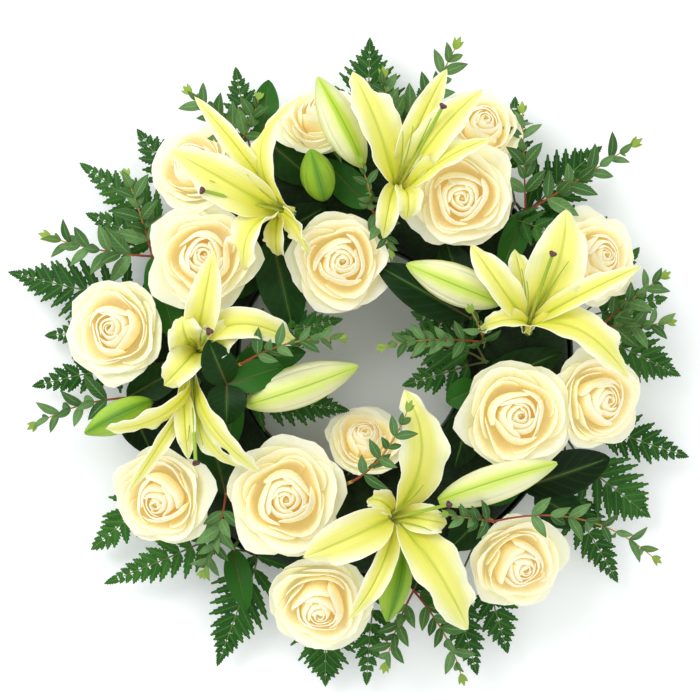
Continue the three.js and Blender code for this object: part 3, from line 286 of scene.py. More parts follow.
def in_foam(spot, height=STEM_END, margin=9 * MM):
    """The nearest place inside the foam to a pixel, for the cut end of a stem."""
    out = place(spot[:2]) - ring_middle
    radius = np.linalg.norm(out)
    inner, outer = TRAY_INNER_RADIUS + TRAY_WALL + margin, TRAY_OUTER_RADIUS - TRAY_WALL - margin
    out *= min(max(radius, inner), outer) / radius
    return ring_middle + out + UP * height


def unit(vectors):
    """Vectors brought to length 1."""
    return vectors / np.linalg.norm(vectors, axis=-1, keepdims=True)


def facing(compass, tilt):
    """The unit vector that leans by tilt degrees from upright towards the compass angle."""
    turn, lean = math.radians(compass), math.radians(tilt)
    return np.array([math.sin(lean) * math.cos(turn), math.sin(lean) * math.sin(turn), math.cos(lean)])


def turn_to(direction, spin=0.0):
    """The matrix that carries +Z to a direction, after a spin in degrees about it."""
    swing = Vector(UP).rotation_difference(Vector(direction)).to_matrix()
    c, s = math.cos(math.radians(spin)), math.sin(math.radians(spin))
    return np.array(swing) @ np.array([[c, -s, 0], [s, c, 0], [0, 0, 1]])


def arc(start, middle, end, steps=48):
    """A row of points from start to end on the curve that passes through the middle."""
    t = np.linspace(0, 1, steps)[:, None]
    control = 2 * middle - 0.5 * start - 0.5 * end
    return (1 - t) ** 2 * start + 2 * t * (1 - t) * control + t**2 * end


def through(knots, steps=16):
    """A smooth row of points through all the knots."""
    knots = np.array(knots)
    ends = np.vstack([2 * knots[0] - knots[1], knots, 2 * knots[-1] - knots[-2]])
    t = np.linspace(0, 1, steps, endpoint=False)[:, None]
    rows = []
    for a, b, c, d in zip(ends, ends[1:], ends[2:], ends[3:]):
        square, cube = 2 * a - 5 * b + 4 * c - d, 3 * b - a - 3 * c + d
        rows.append(0.5 * (2 * b + (c - a) * t + square * t**2 + cube * t**3))
    return np.vstack([*rows, knots[-1:]])


def walk(line, shares):
    """Points and unit tangents at the given shares of a line's length."""
    steps = np.linalg.norm(np.diff(line, axis=0), axis=1)
    reached = np.concatenate([[0], np.cumsum(steps)]) / steps.sum()
    slopes = np.gradient(line, reached, axis=0)
    spots = np.stack([np.interp(shares, reached, line[:, k]) for k in range(3)], axis=-1)
    tangents = np.stack([np.interp(shares, reached, slopes[:, k]) for k in range(3)], axis=-1)
    return spots, unit(tangents)


def frames_along(line, front, shares, twist=0.0):
    """Points, tangents, sides and upper normals along a blade whose face looks along front."""
    spots, tangents = walk(line, shares)
    across = unit(np.cross(front, line[-1] - line[0]))
    side = unit(across - tangents * (tangents @ across)[:, None])
    turn = np.radians(twist) * shares[:, None]
    side = side * np.cos(turn) + np.cross(tangents, side) * np.sin(turn)
    return spots, tangents, side, np.cross(tangents, side)


def turned(radii, heights, sides, shift=(0, 0)):
    """Rings of points about +Z, through rows of radii and heights, each ring shifted aside."""
    angles = np.linspace(0, 2 * math.pi, sides, endpoint=False)
    x, y = radii * np.cos(angles) + shift[0], radii * np.sin(angles) + shift[1]
    return np.stack(np.broadcast_arrays(x, y, heights), axis=-1)


class Sprig:
    """All that grows in one node: thin blades, and closed solids such as stems."""

    def __init__(self, seed):
        self.draw = np.random.default_rng(seed)
        self.blades = []
        self.solids = []

    def blade(self, points, leaf, tint, finish=0):
        """A grid of points, rows along the blade, with its place across and along, and two tints."""
        rows, columns = points.shape[:2]
        first = np.arange((rows - 1) * columns).reshape(rows - 1, columns)[:, :-1].ravel()
        faces = np.stack([first, first + columns, first + columns + 1, first + 1], axis=1)
        self.blades.append((points.reshape(-1, 3), faces.tolist(), leaf.reshape(-1, 2), tint, finish))

    def loft(self, rings, tint=(0.5, 0.5), finish=1):
        """A closed solid through rings of points, each counterclockwise as seen from its far end."""
        count, sides = rings.shape[:2]
        faces = []
        for ring in range(count - 1):
            for i in range(sides):
                a, b = ring * sides + i, ring * sides + (i + 1) % sides
                faces.append((a, b, b + sides, a + sides))
        faces.append(tuple(range(sides - 1, -1, -1)))
        faces.append(tuple((count - 1) * sides + i for i in range(sides)))
        there_and_back = 1 - np.abs(2 * np.arange(sides) / sides - 1)
        leaf = np.stack(np.broadcast_arrays(there_and_back, np.linspace(0, 1, count)[:, None]), axis=-1)
        self.solids.append((rings.reshape(-1, 3), faces, leaf.reshape(-1, 2), tint, finish))

    def stem(self, line, radii, sides=8, steps=6, finish=1):
        """A round stem along a line, its radius changing evenly from the first to the second of radii."""
        shares = np.linspace(0, 1, steps + 1)
        spots, tangents = walk(np.array(line), shares)
        reach = line[-1] - line[0]
        aside = np.eye(3)[np.argmin(np.abs(reach))]
        side = unit(np.cross(aside, tangents))
        normal = np.cross(tangents, side)
        angles = np.linspace(0, 2 * math.pi, sides, endpoint=False)[None, :, None]
        reaches = (radii[0] + (radii[1] - radii[0]) * shares)[:, None, None]
        ways = side[:, None] * np.cos(angles) + normal[:, None] * np.sin(angles)
        self.loft(spots[:, None] + reaches * ways, finish=finish)


def mesh_object(name, patches, finishes):
    """A mesh object of these patches, with their places on the blade and their tints as UV maps."""
    points, faces, leaf, tint, slots = [], [], [], [], []
    count = 0
    for patch_points, patch_faces, patch_leaf, patch_tint, finish in patches:
        points.append(patch_points)
        faces.extend([tuple(corner + count for corner in face) for face in patch_faces])
        leaf.append(patch_leaf)
        tint.append(np.broadcast_to(patch_tint, patch_leaf.shape))
        slots.extend([finish] * len(patch_faces))
        count += len(patch_points)
    mesh = bpy.data.meshes.new(name)
    mesh.from_pydata(np.vstack(points).tolist(), [], faces)
    corners = np.empty(len(mesh.loops), dtype=np.int32)
    mesh.loops.foreach_get("vertex_index", corners)
    for layer, values in (("Leaf", leaf), ("Tint", tint)):
        mesh.uv_layers.new(name=layer).data.foreach_set("uv", np.vstack(values)[corners].ravel())
    mesh.polygons.foreach_set("material_index", slots)
    for material in finishes:
        mesh.materials.append(material)
    thing = bpy.data.objects.new(name, mesh)
    bpy.context.scene.collection.objects.link(thing)
    return thing


def select_only(*things):
    """Selects these and nothing else, the first of them active."""
    bpy.ops.object.select_all(action="DESELECT")
    for thing in things:
        thing.select_set(True)
    bpy.context.view_layer.objects.active = things[0]


def give_thickness(thing, thickness):
    """Turns a thin sheet into a closed blade of even thickness."""
    select_only(thing)
    bpy.ops.object.modifier_add(type="SOLIDIFY")
    wall = thing.modifiers[-1]
    wall.thickness = thickness
    wall.offset = 0
    bpy.ops.object.modifier_apply(modifier=wall.name)


def finish_piece(thing, node, smooth_below=50):
    """Shades a finished piece, and lets it stand for its CAD node."""
    select_only(thing)
    bpy.ops.object.shade_smooth_by_angle(angle=math.radians(smooth_below))
    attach(thing, "root")
    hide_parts(node)


def grow_piece(sprig, node, suffix, finishes, thickness):
    """Makes a node's sprig one piece: its blades get their thickness, then its solids join them."""
    name = f"{node}_{suffix}"
    parts = []
    if sprig.blades:
        parts.append(mesh_object(name, sprig.blades, finishes))
        give_thickness(parts[0], thickness)
    if sprig.solids:
        parts.append(mesh_object(f"{name}_stems", sprig.solids, finishes))
    select_only(*parts)
    if len(parts) > 1:
        bpy.ops.object.join()
    thing = bpy.context.view_layer.objects.active
    thing.name = name
    finish_piece(thing, node)


# Paints and shader groups
def paint(red, green, blue):
    """A colour given as it looks on a screen, 0 to 255."""
    shares = [channel / 255 for channel in (red, green, blue)]
    linear = [share / 12.92 if share <= 0.04045 else ((share + 0.055) / 1.055) ** 2.4 for share in shares]
    return (*linear, 1.0)


class Nodes:
    """Adds and links the nodes of one material or group."""

    def __init__(self, tree):
        self.tree = tree

    def add(self, kind, fixed=None, **links):
        node = self.tree.nodes.new(kind)
        for key, value in (fixed or {}).items():
            setattr(node, key, value)
        return self.connect(node, links)

    def connect(self, node, links):
        """Feeds inputs by their name, or by their number as in i0, from a socket or with a value."""
        for key, value in links.items():
            numbered = key[0] == "i" and key[1:].isdigit()
            socket = node.inputs[int(key[1:]) if numbered else key.replace("_", " ")]
            if isinstance(value, bpy.types.NodeSocket):
                self.tree.links.new(value, socket)
            else:
                socket.default_value = value
        return node

    def math(self, operation, a, b=0.0, clamp=False):
        fixed = {"operation": operation, "use_clamp": clamp}
        return self.add("ShaderNodeMath", fixed, i0=a, i1=b).outputs[0]

    def ramp(self, value, low, high, start=0.0, end=1.0):
        """Start to end, smoothly, as the value goes from low to high."""
        fixed = {"interpolation_type": "SMOOTHSTEP"}
        node = self.add("ShaderNodeMapRange", fixed, Value=value, i1=low, i2=high, i3=start, i4=end)
        return node.outputs[0]

    def mix(self, share, first, second):
        return self.add("ShaderNodeMix", {"data_type": "RGBA"}, i0=share, i6=first, i7=second).outputs[2]

    def times(self, a, b, clamp=False):
        return self.math("MULTIPLY", a, b, clamp)

    def off_middle(self, across):
        """How far from the middle line of a blade, 0 to 1 at its edge."""
        return self.math("ABSOLUTE", self.times(self.math("SUBTRACT", across, 0.5), 2.0))

    def across_along(self, layer):
        """The two coordinates of a UV map."""
        spot = self.add("ShaderNodeUVMap", {"uv_map": layer}).outputs[0]
        parts = self.add("ShaderNodeSeparateXYZ", Vector=spot)
        return parts.outputs[0], parts.outputs[1]

    def noise(self, scale, detail=2.0, vector=None):
        vector = vector or self.add("ShaderNodeTexCoord").outputs["Object"]
        return self.add("ShaderNodeTexNoise", Vector=vector, Scale=scale, Detail=detail).outputs["Fac"]

    def place_group(self, group, **links):
        node = self.tree.nodes.new("ShaderNodeGroup")
        node.node_tree = group
        return self.connect(node, links)


def new_group(name, inputs, outputs):
    """A shader node group with named sockets: (nodes, inputs by name, its output node)."""
    tree = bpy.data.node_groups.new(name, "ShaderNodeTree")
    for label in inputs:
        tree.interface.new_socket(name=label, in_out="INPUT", socket_type="NodeSocketFloat")
    for label in outputs:
        tree.interface.new_socket(name=label, in_out="OUTPUT", socket_type="NodeSocketFloat")
    nodes = Nodes(tree)
    entry = nodes.add("NodeGroupInput")
    leave = nodes.add("NodeGroupOutput")
    return tree, nodes, entry.outputs, leave.inputs


def petal_vein_group():
    """Fine veins that fan out from a petal's base: 1 on a vein, 0 between."""
    tree, nodes, given, result = new_group("Petal veins", ["Across", "Along", "Count", "Waver"], ["Veins"])
    middle = nodes.math("SUBTRACT", given["Across"], 0.5)
    spread = nodes.math("MULTIPLY_ADD", given["Along"], 0.5)
    spread.node.inputs[2].default_value = 0.5
    fan = nodes.math("DIVIDE", middle, spread)
    waver = nodes.times(nodes.math("SUBTRACT", nodes.noise(60.0), 0.5), given["Waver"])
    fanned = nodes.times(nodes.math("ADD", fan, waver), given["Count"])
    wave = nodes.math("ABSOLUTE", nodes.math("SINE", fanned))
    nodes.tree.links.new(nodes.math("POWER", nodes.math("SUBTRACT", 1.0, wave), 3.0), result["Veins"])
    return tree


def leaf_vein_group():
    """A leaf's midrib and its pairs of slanting side veins, each 1 on the vein."""
    tree, nodes, given, result = new_group(
        "Leaf veins", ["Across", "Along", "Pairs", "Slant", "Rib Width"], ["Midrib", "Side Veins"]
    )
    off = nodes.math("ABSOLUTE", nodes.math("SUBTRACT", given["Across"], 0.5))
    midrib = nodes.math("SUBTRACT", 1.0, nodes.math("DIVIDE", off, given["Rib Width"]), clamp=True)
    nodes.tree.links.new(midrib, result["Midrib"])
    slanted = nodes.math("SUBTRACT", given["Along"], nodes.times(off, given["Slant"]))
    wave = nodes.math("PINGPONG", nodes.times(slanted, given["Pairs"]), 0.5)
    side = nodes.math("POWER", nodes.math("SUBTRACT", 1.0, nodes.times(wave, 2.0)), 6.0)
    nodes.tree.links.new(side, result["Side Veins"])
    return tree


def mottle_group():
    """Soft uneven patches, about 0.5 all over, from two sizes of noise."""
    tree, nodes, given, result = new_group("Mottle", ["Size", "Amount"], ["Patches"])
    large = nodes.noise(given["Size"], 3.0)
    small = nodes.noise(nodes.times(given["Size"], 4.3), 2.0)
    both = nodes.math("ADD", nodes.times(large, 0.65), nodes.times(small, 0.35))
    off = nodes.times(nodes.math("SUBTRACT", both, 0.5), given["Amount"])
    nodes.tree.links.new(nodes.math("ADD", off, 0.5), result["Patches"])
    return tree


petal_veins = petal_vein_group()
leaf_veins = leaf_vein_group()
mottle = mottle_group()


def new_material(name, roughness=0.5, gloss=0.5, soft=0.0, soft_radius=(1.0, 0.6, 0.3), sheen=0.0):
    """A material with its Principled shader: (material, nodes, shader)."""
    material = bpy.data.materials.new(name)
    material.use_nodes = True
    nodes = Nodes(material.node_tree)
    shader = material.node_tree.nodes["Principled BSDF"]
    shader.inputs["Roughness"].default_value = roughness
    shader.inputs["Specular IOR Level"].default_value = gloss
    shader.inputs["Subsurface Weight"].default_value = soft
    shader.inputs["Subsurface Radius"].default_value = soft_radius
    shader.inputs["Subsurface Scale"].default_value = 3 * MM
    shader.inputs["Sheen Weight"].default_value = sheen
    return material, nodes, shader


def dress(nodes, shader, colour, height, depth, strength=0.6, painted_glow=0.0):
    """Gives a shader its colour, its relief with a depth in metres, and a painted glow: emission in its own
    colour that stands in for light shining through it.
    """
    nodes.tree.links.new(colour, shader.inputs["Base Color"])
    if painted_glow:
        nodes.tree.links.new(colour, shader.inputs["Emission Color"])
        shader.inputs["Emission Strength"].default_value = painted_glow
    bump = nodes.add("ShaderNodeBump", Height=height, Distance=depth, Strength=strength)
    nodes.tree.links.new(bump.outputs["Normal"], shader.inputs["Normal"])


def rose_petal_material():
    """Cream yellow, with apricot deep in the heart, paler rims and a green tinge on the outer petals."""
    material, nodes, shader = new_material("rose_petal", 0.6, 0.12, 0.65, (1.0, 0.85, 0.6))
    across, along = nodes.across_along("Leaf")
    draw, layer = nodes.across_along("Tint")
    patches = nodes.place_group(mottle, Size=45.0, Amount=0.9).outputs[0]
    veins = nodes.place_group(petal_veins, Across=across, Along=along, Count=38.0, Waver=0.05).outputs[0]
    inner = nodes.ramp(layer, 0.95, 0.25)
    warm = nodes.times(inner, nodes.ramp(along, 1.0, 0.78), True)
    hot = nodes.times(nodes.ramp(layer, 0.7, 0.1, 0.0, 0.75), nodes.ramp(along, 0.9, 0.4), True)
    colour = nodes.mix(nodes.ramp(draw, 0.0, 1.0), paint(252, 246, 206), paint(254, 248, 220))
    colour = nodes.mix(warm, colour, paint(255, 237, 178))
    colour = nodes.mix(hot, colour, paint(255, 220, 138))
    green = nodes.times(nodes.ramp(layer, 0.72, 1.0, 0.0, 0.55), nodes.ramp(draw, 0.1, 0.9))
    colour = nodes.mix(green, colour, paint(240, 244, 190))
    rim = nodes.times(nodes.ramp(along, 0.8, 1.0), 0.5)
    colour = nodes.mix(rim, colour, paint(255, 250, 222))
    colour = nodes.mix(nodes.ramp(patches, 0.5, 0.9, 0.0, 0.25), colour, paint(252, 238, 184))
    colour = nodes.mix(nodes.times(veins, 0.1), colour, paint(234, 222, 140))
    relief = nodes.math("ADD", nodes.times(veins, -0.4), patches)
    # The petals glow a little: painted light, emission in their own colour that brightens them as if lit
    # through.
    dress(nodes, shader, colour, relief, 0.25 * MM, painted_glow=0.11)
    return material


def lily_material():
    """Lemon with paler margins, deeper lemon towards the throat and a green midrib at its foot."""
    material, nodes, shader = new_material("lily_tepal", 0.45, 0.25, 0.35, (1.0, 0.85, 0.3))
    across, along = nodes.across_along("Leaf")
    patches = nodes.place_group(mottle, Size=40.0, Amount=0.8).outputs[0]
    veins = nodes.place_group(petal_veins, Across=across, Along=along, Count=26.0, Waver=0.02).outputs[0]
    off = nodes.off_middle(across)
    colour = nodes.mix(nodes.ramp(off, 0.35, 0.95), paint(234, 232, 124), paint(247, 247, 206))
    colour = nodes.mix(nodes.ramp(along, 0.62, 0.0, 0.0, 0.9), colour, paint(230, 224, 74))
    colour = nodes.mix(nodes.ramp(along, 0.6, 1.0, 0.0, 0.4), colour, paint(240, 242, 178))
    green = nodes.times(nodes.ramp(along, 0.5, 0.0), nodes.ramp(off, 0.35, 0.02))
    colour = nodes.mix(green, colour, paint(164, 192, 40))
    rib = nodes.times(nodes.ramp(off, 0.11, 0.02, 0.0, 0.8), nodes.ramp(along, 1.0, 0.75))
    colour = nodes.mix(rib, colour, paint(196, 204, 76))
    colour = nodes.mix(nodes.ramp(patches, 0.5, 0.9, 0.0, 0.3), colour, paint(240, 238, 140))
    colour = nodes.mix(nodes.times(veins, 0.14), colour, paint(216, 214, 84))
    colour = nodes.mix(nodes.ramp(off, 0.93, 1.0, 0.0, 0.8), colour, paint(252, 252, 232))
    relief = nodes.math("ADD", nodes.times(veins, -0.3), patches)
    # The tepals glow faintly: painted light, emission in their own colour.
    dress(nodes, shader, colour, relief, 0.25 * MM, painted_glow=0.04)
    return material


def bud_material(name, body, pale, rib_colour, tip_colour, groove):
    """A closed bud: a smooth body, a green band with a groove down each outer segment, and a green tip."""
    material, nodes, shader = new_material(name, 0.4, 0.35, 0.25)
    across, along = nodes.across_along("Leaf")
    patches = nodes.place_group(mottle, Size=70.0, Amount=0.8).outputs[0]
    third = nodes.math("PINGPONG", nodes.times(across, 1.5), 0.5)
    band, _ = nodes.across_along("Tint")
    colour = nodes.mix(nodes.ramp(third, 0.05, 0.5), body, pale)
    colour = nodes.mix(nodes.ramp(along, 0.25, 0.0, 0.0, 0.8), colour, tip_colour)
    colour = nodes.mix(nodes.ramp(along, 0.72, 1.0, 0.0, 0.75), colour, tip_colour)
    colour = nodes.mix(nodes.times(nodes.ramp(third, 0.18, 0.06), band), colour, rib_colour)
    colour = nodes.mix(nodes.ramp(third, 0.03, 0.0, 0.0, 0.75), colour, groove)
    seam = nodes.ramp(third, 0.485, 0.5)
    colour = nodes.mix(nodes.times(seam, 0.5), colour, rib_colour)
    colour = nodes.mix(nodes.ramp(patches, 0.45, 0.9, 0.0, 0.3), colour, rib_colour)
    streaks = nodes.math("SINE", nodes.times(across, 190.0))
    relief = nodes.math("ADD", patches, nodes.times(streaks, 0.12))
    dress(nodes, shader, colour, relief, 0.3 * MM)
    return material


def leaf_material(
    name, roughness, gloss, greens, edge, rib, young, pairs, slant, size, depth, edge_share, vein=0.3
):
    """A leaf: two greens in soft patches, a lighter midrib and side veins, an edge and a young green."""
    material, nodes, shader = new_material(name, roughness, gloss, 0.0)
    across, along = nodes.across_along("Leaf")
    draw, layer = nodes.across_along("Tint")
    patches = nodes.place_group(mottle, Size=size, Amount=1.2).outputs[0]
    veins = nodes.place_group(
        leaf_veins, Across=across, Along=along, Pairs=pairs, Slant=slant, Rib_Width=0.07
    ).outputs
    colour = nodes.mix(nodes.ramp(draw, 0.0, 1.0), greens[0], greens[1])
    colour = nodes.mix(nodes.ramp(patches, 0.35, 0.75, 0.0, 0.5), colour, greens[0])
    off = nodes.off_middle(across)
    colour = nodes.mix(nodes.ramp(off, 0.8, 1.0, 0.0, edge_share), colour, edge)
    colour = nodes.mix(nodes.times(veins["Side Veins"], vein), colour, rib)
    colour = nodes.mix(nodes.times(veins["Midrib"], 0.6), colour, rib)
    colour = nodes.mix(nodes.ramp(layer, 0.3, 1.0, 0.0, 0.85), colour, young)
    ridges = nodes.math("ADD", veins["Side Veins"], veins["Midrib"])
    relief = nodes.math("SUBTRACT", patches, nodes.times(ridges, 0.5))
    dress(nodes, shader, colour, relief, depth)
    rough = nodes.ramp(patches, 0.2, 0.8, roughness - 0.08, roughness + 0.1)
    nodes.tree.links.new(rough, shader.inputs["Roughness"])
    return material


def stem_material(name, young, old, grain, roughness=0.5):
    """A stem that turns from its old colour to its young one along its length, with fine streaks."""
    material, nodes, shader = new_material(name, roughness, 0.35, 0.0)
    across, along = nodes.across_along("Leaf")
    patches = nodes.place_group(mottle, Size=120.0, Amount=1.0).outputs[0]
    colour = nodes.mix(nodes.ramp(along, 0.1, 0.9), old, young)
    colour = nodes.mix(nodes.ramp(patches, 0.45, 0.8, 0.0, 0.4), colour, grain)
    streaks = nodes.math("SINE", nodes.times(across, 75.0))
    dress(nodes, shader, colour, nodes.math("ADD", patches, nodes.times(streaks, 0.3)), 0.2 * MM)
    return material


def stigma_material():
    """Dark purple-brown, felted, paler in the slits between its three lobes."""
    material, nodes, shader = new_material("stigma", 0.8, 0.2, 0.0)
    across, along = nodes.across_along("Leaf")
    patches = nodes.place_group(mottle, Size=600.0, Amount=1.4).outputs[0]
    third = nodes.math("PINGPONG", nodes.times(across, 1.5), 0.5)
    slit = nodes.times(nodes.ramp(third, 0.44, 0.5), nodes.ramp(along, 0.55, 0.85))
    colour = nodes.mix(nodes.ramp(patches, 0.3, 0.7), paint(74, 42, 50), paint(108, 74, 84))
    colour = nodes.mix(nodes.times(slit, 0.8), colour, paint(188, 170, 150))
    dress(nodes, shader, colour, patches, 0.3 * MM)
    return material


def foam_material():
    """Wet floral foam: its own dark green pushed almost to black, painted shade for the deep gaps between
    the flowers where it shows, with its fine cells and darker wet patches.
    """
    material, nodes, shader = new_material("wet_foam_painted_shade", 0.85, 0.3, 0.0)
    spot = nodes.add("ShaderNodeTexCoord").outputs["Object"]
    cells = nodes.add("ShaderNodeTexVoronoi", Vector=spot, Scale=900.0).outputs["Distance"]
    patches = nodes.place_group(mottle, Size=35.0, Amount=1.5).outputs[0]
    # Near-black greens: the foam's own dark green deepened into painted shade.
    colour = nodes.mix(nodes.ramp(patches, 0.3, 0.7), paint(11, 30, 10), paint(26, 50, 21))
    colour = nodes.mix(nodes.ramp(cells, 0.1, 0.6, 0.4, 0.0), colour, paint(5, 10, 6))
    dress(nodes, shader, colour, cells, 0.5 * MM, 0.8)
    return material


def tray_material():
    """Moulded dark green plastic with a fine matt grain."""
    material, nodes, shader = new_material("tray_plastic", 0.5, 0.4, 0.0)
    patches = nodes.place_group(mottle, Size=500.0, Amount=1.0).outputs[0]
    dust = nodes.place_group(mottle, Size=18.0, Amount=1.2).outputs[0]
    colour = nodes.mix(nodes.ramp(dust, 0.45, 0.75, 0.0, 0.5), paint(26, 52, 32), paint(44, 70, 48))
    dress(nodes, shader, colour, patches, 0.15 * MM)
    return material


ROSE_FINISHES = [
    rose_petal_material(),
    stem_material("rose_calyx", paint(104, 138, 66), paint(66, 104, 48), paint(132, 150, 84)),
]
LILY_FINISHES = [
    lily_material(),
    stem_material("lily_style", paint(160, 192, 66), paint(196, 208, 92), paint(132, 172, 52), 0.4),
    stigma_material(),
    stem_material("lily_stalk", paint(120, 158, 72), paint(84, 124, 56), paint(140, 170, 90)),
]
BUD_FINISHES = [
    bud_material(
        "cream_bud", paint(226, 236, 140), paint(248, 248, 212), paint(184, 214, 62), paint(186, 212, 84),
        paint(128, 164, 34),
    ),
    stem_material("bud_stalk", paint(120, 158, 72), paint(84, 124, 56), paint(140, 170, 90)),
]
GREEN_BUD_FINISHES = [
    bud_material(
        "green_bud", paint(140, 182, 46), paint(166, 202, 66), paint(104, 156, 34), paint(122, 168, 42),
        paint(70, 116, 24),
    ),
    BUD_FINISHES[1],
]
FERN_LEAF, FERN_RIB, SMALL_LEAF, TWIG, BROAD_LEAF, BROAD_STALK = range(6)
FOLIAGE_FINISHES = [
    leaf_material(
        "fern_leaf", 0.5, 0.16, (paint(26, 74, 20), paint(58, 112, 38)), paint(74, 126, 46),
        paint(84, 134, 54), paint(150, 190, 70), 6.0, 0.35, 160.0, 0.2 * MM, 0.2,
    ),
    stem_material("fern_rib", paint(96, 132, 58), paint(92, 98, 48), paint(70, 96, 46)),
    leaf_material(
        "eucalyptus_leaf", 0.6, 0.14, (paint(48, 92, 44), paint(104, 146, 88)), paint(136, 130, 72),
        paint(146, 176, 104), paint(156, 184, 76), 7.0, 0.5, 120.0, 0.2 * MM, 0.3,
    ),
    stem_material("eucalyptus_twig", paint(198, 156, 62), paint(150, 62, 38), paint(176, 120, 50)),
    leaf_material(
        "broad_leaf", 0.42, 0.12, (paint(8, 32, 6), paint(26, 64, 18)), paint(34, 76, 24),
        paint(62, 106, 40), paint(46, 104, 30), 7.0, 0.55, 60.0, 0.3 * MM, 0.2, 0.12,
    ),
    stem_material("leaf_stalk", paint(92, 112, 52), paint(96, 74, 44), paint(118, 110, 62)),
]


def grow_blade(sprig, line, front, half_width, relief, rows, columns, tint, twist=0.0, finish=0):
    """A blade along a line: its half width at each share of the length, and its relief off the flat."""
    t = np.linspace(0, 1, rows + 1)
    u = np.linspace(-1, 1, columns + 1)[None, :]
    spots, _, side, normal = frames_along(line, front, t, twist)
    half = np.maximum(half_width(t), BLADE_TIP)[:, None]
    rise = relief(t[:, None], u, half)
    points = spots[:, None] + side[:, None] * (half * u)[..., None] + normal[:, None] * rise[..., None]
    leaf = np.stack(np.broadcast_arrays((u + 1) / 2, t[:, None]), axis=-1)
    sprig.blade(points, leaf, tint, finish)


# Roses. Every petal follows one family of cup shapes, from the closed heart to the open rim, so petals
# hardly cross. For six places in that family, 0 the heart and 1 the outermost, in shares of the rose's
# radius: radius and height of the petal's base, belly, shoulder and rim.
ROSE_FAMILY = np.array([
    (0.00, 0.05, 0.32, 0.14, 0.55, 0.13, 1.08, 0.02, 1.24),
    (0.20, 0.09, 0.28, 0.30, 0.50, 0.38, 1.07, 0.16, 1.19),
    (0.42, 0.14, 0.22, 0.50, 0.42, 0.66, 0.98, 0.36, 1.06),
    (0.56, 0.17, 0.18, 0.60, 0.36, 0.60, 0.86, 0.62, 1.03),
    (0.76, 0.21, 0.14, 0.72, 0.28, 0.68, 0.78, 0.84, 0.92),
    (1.02, 0.27, 0.08, 0.76, 0.18, 0.80, 0.66, 1.01, 0.74),
])
# A whorl: how many petals, where each starts and ends in the family, half its width in shares of the
# rose's radius, the most that it wraps round in degrees, and how far its rim rolls out.
ROSE_WHORLS = (
    (3, 0.00, 0.09, 0.26, 120, 0.0),
    (3, 0.11, 0.20, 0.34, 105, 0.2),
    (3, 0.22, 0.31, 0.46, 95, 0.3),
    (3, 0.33, 0.42, 0.54, 88, 0.35),
    (4, 0.53, 0.63, 0.68, 72, 0.8),
    (4, 0.67, 0.80, 0.76, 68, 1.0),
    (5, 0.86, 1.00, 0.76, 56, 1.2),
)
ROSE_ROWS = 11
ROSE_COLUMNS = 14
ROSE_CENTRE = 0.72  # how far the head's centre is above its base, in shares of its radius
ROSE_STEM = (2.6 * MM, 2.2 * MM)
ROSE_CUP = np.array([(0.05, -0.12), (0.11, -0.09), (0.17, 0.0), (0.2, 0.1), (0.19, 0.2), (0.12, 0.26)])
ROSE_CORE = np.array([(0.03, 0.12), (0.06, 0.3), (0.07, 0.7), (0.045, 1.0), (0.012, 1.1)])
ROSE_STEM_SLANT = 14  # pixels from the head's centre to the stem's cut end, against the lean
ROSE_STEM_MARGIN = 14 * MM
OUTER_ROLL = 0.9  # petals whose rims roll out by more than this differ more in length
SEPALS = 5


def smooth_table(table, steps=120, passes=40):
    """A table's columns against its first, resampled finely and with their corners rounded."""
    fine = np.linspace(table[0, 0], table[-1, 0], steps)
    columns = np.stack([np.interp(fine, table[:, 0], table[:, k]) for k in range(1, table.shape[1])])
    for _ in range(passes):
        columns[:, 1:-1] = (columns[:, :-2] + 2 * columns[:, 1:-1] + columns[:, 2:]) / 4
    return fine, columns


ROSE_SHARES, ROSE_KNOTS = smooth_table(ROSE_FAMILY)


def rose_surface(q, s):
    """Radius and height, in shares of the rose's radius, q out from the heart and s up the petal."""
    knots = [np.interp(q, ROSE_SHARES, column) for column in ROSE_KNOTS]
    weights = ((1 - s) ** 3, 3 * s * (1 - s) ** 2, 3 * s**2 * (1 - s), s**3)
    return tuple(sum(weight * knots[2 * k + axis] for k, weight in enumerate(weights)) for axis in (0, 1))


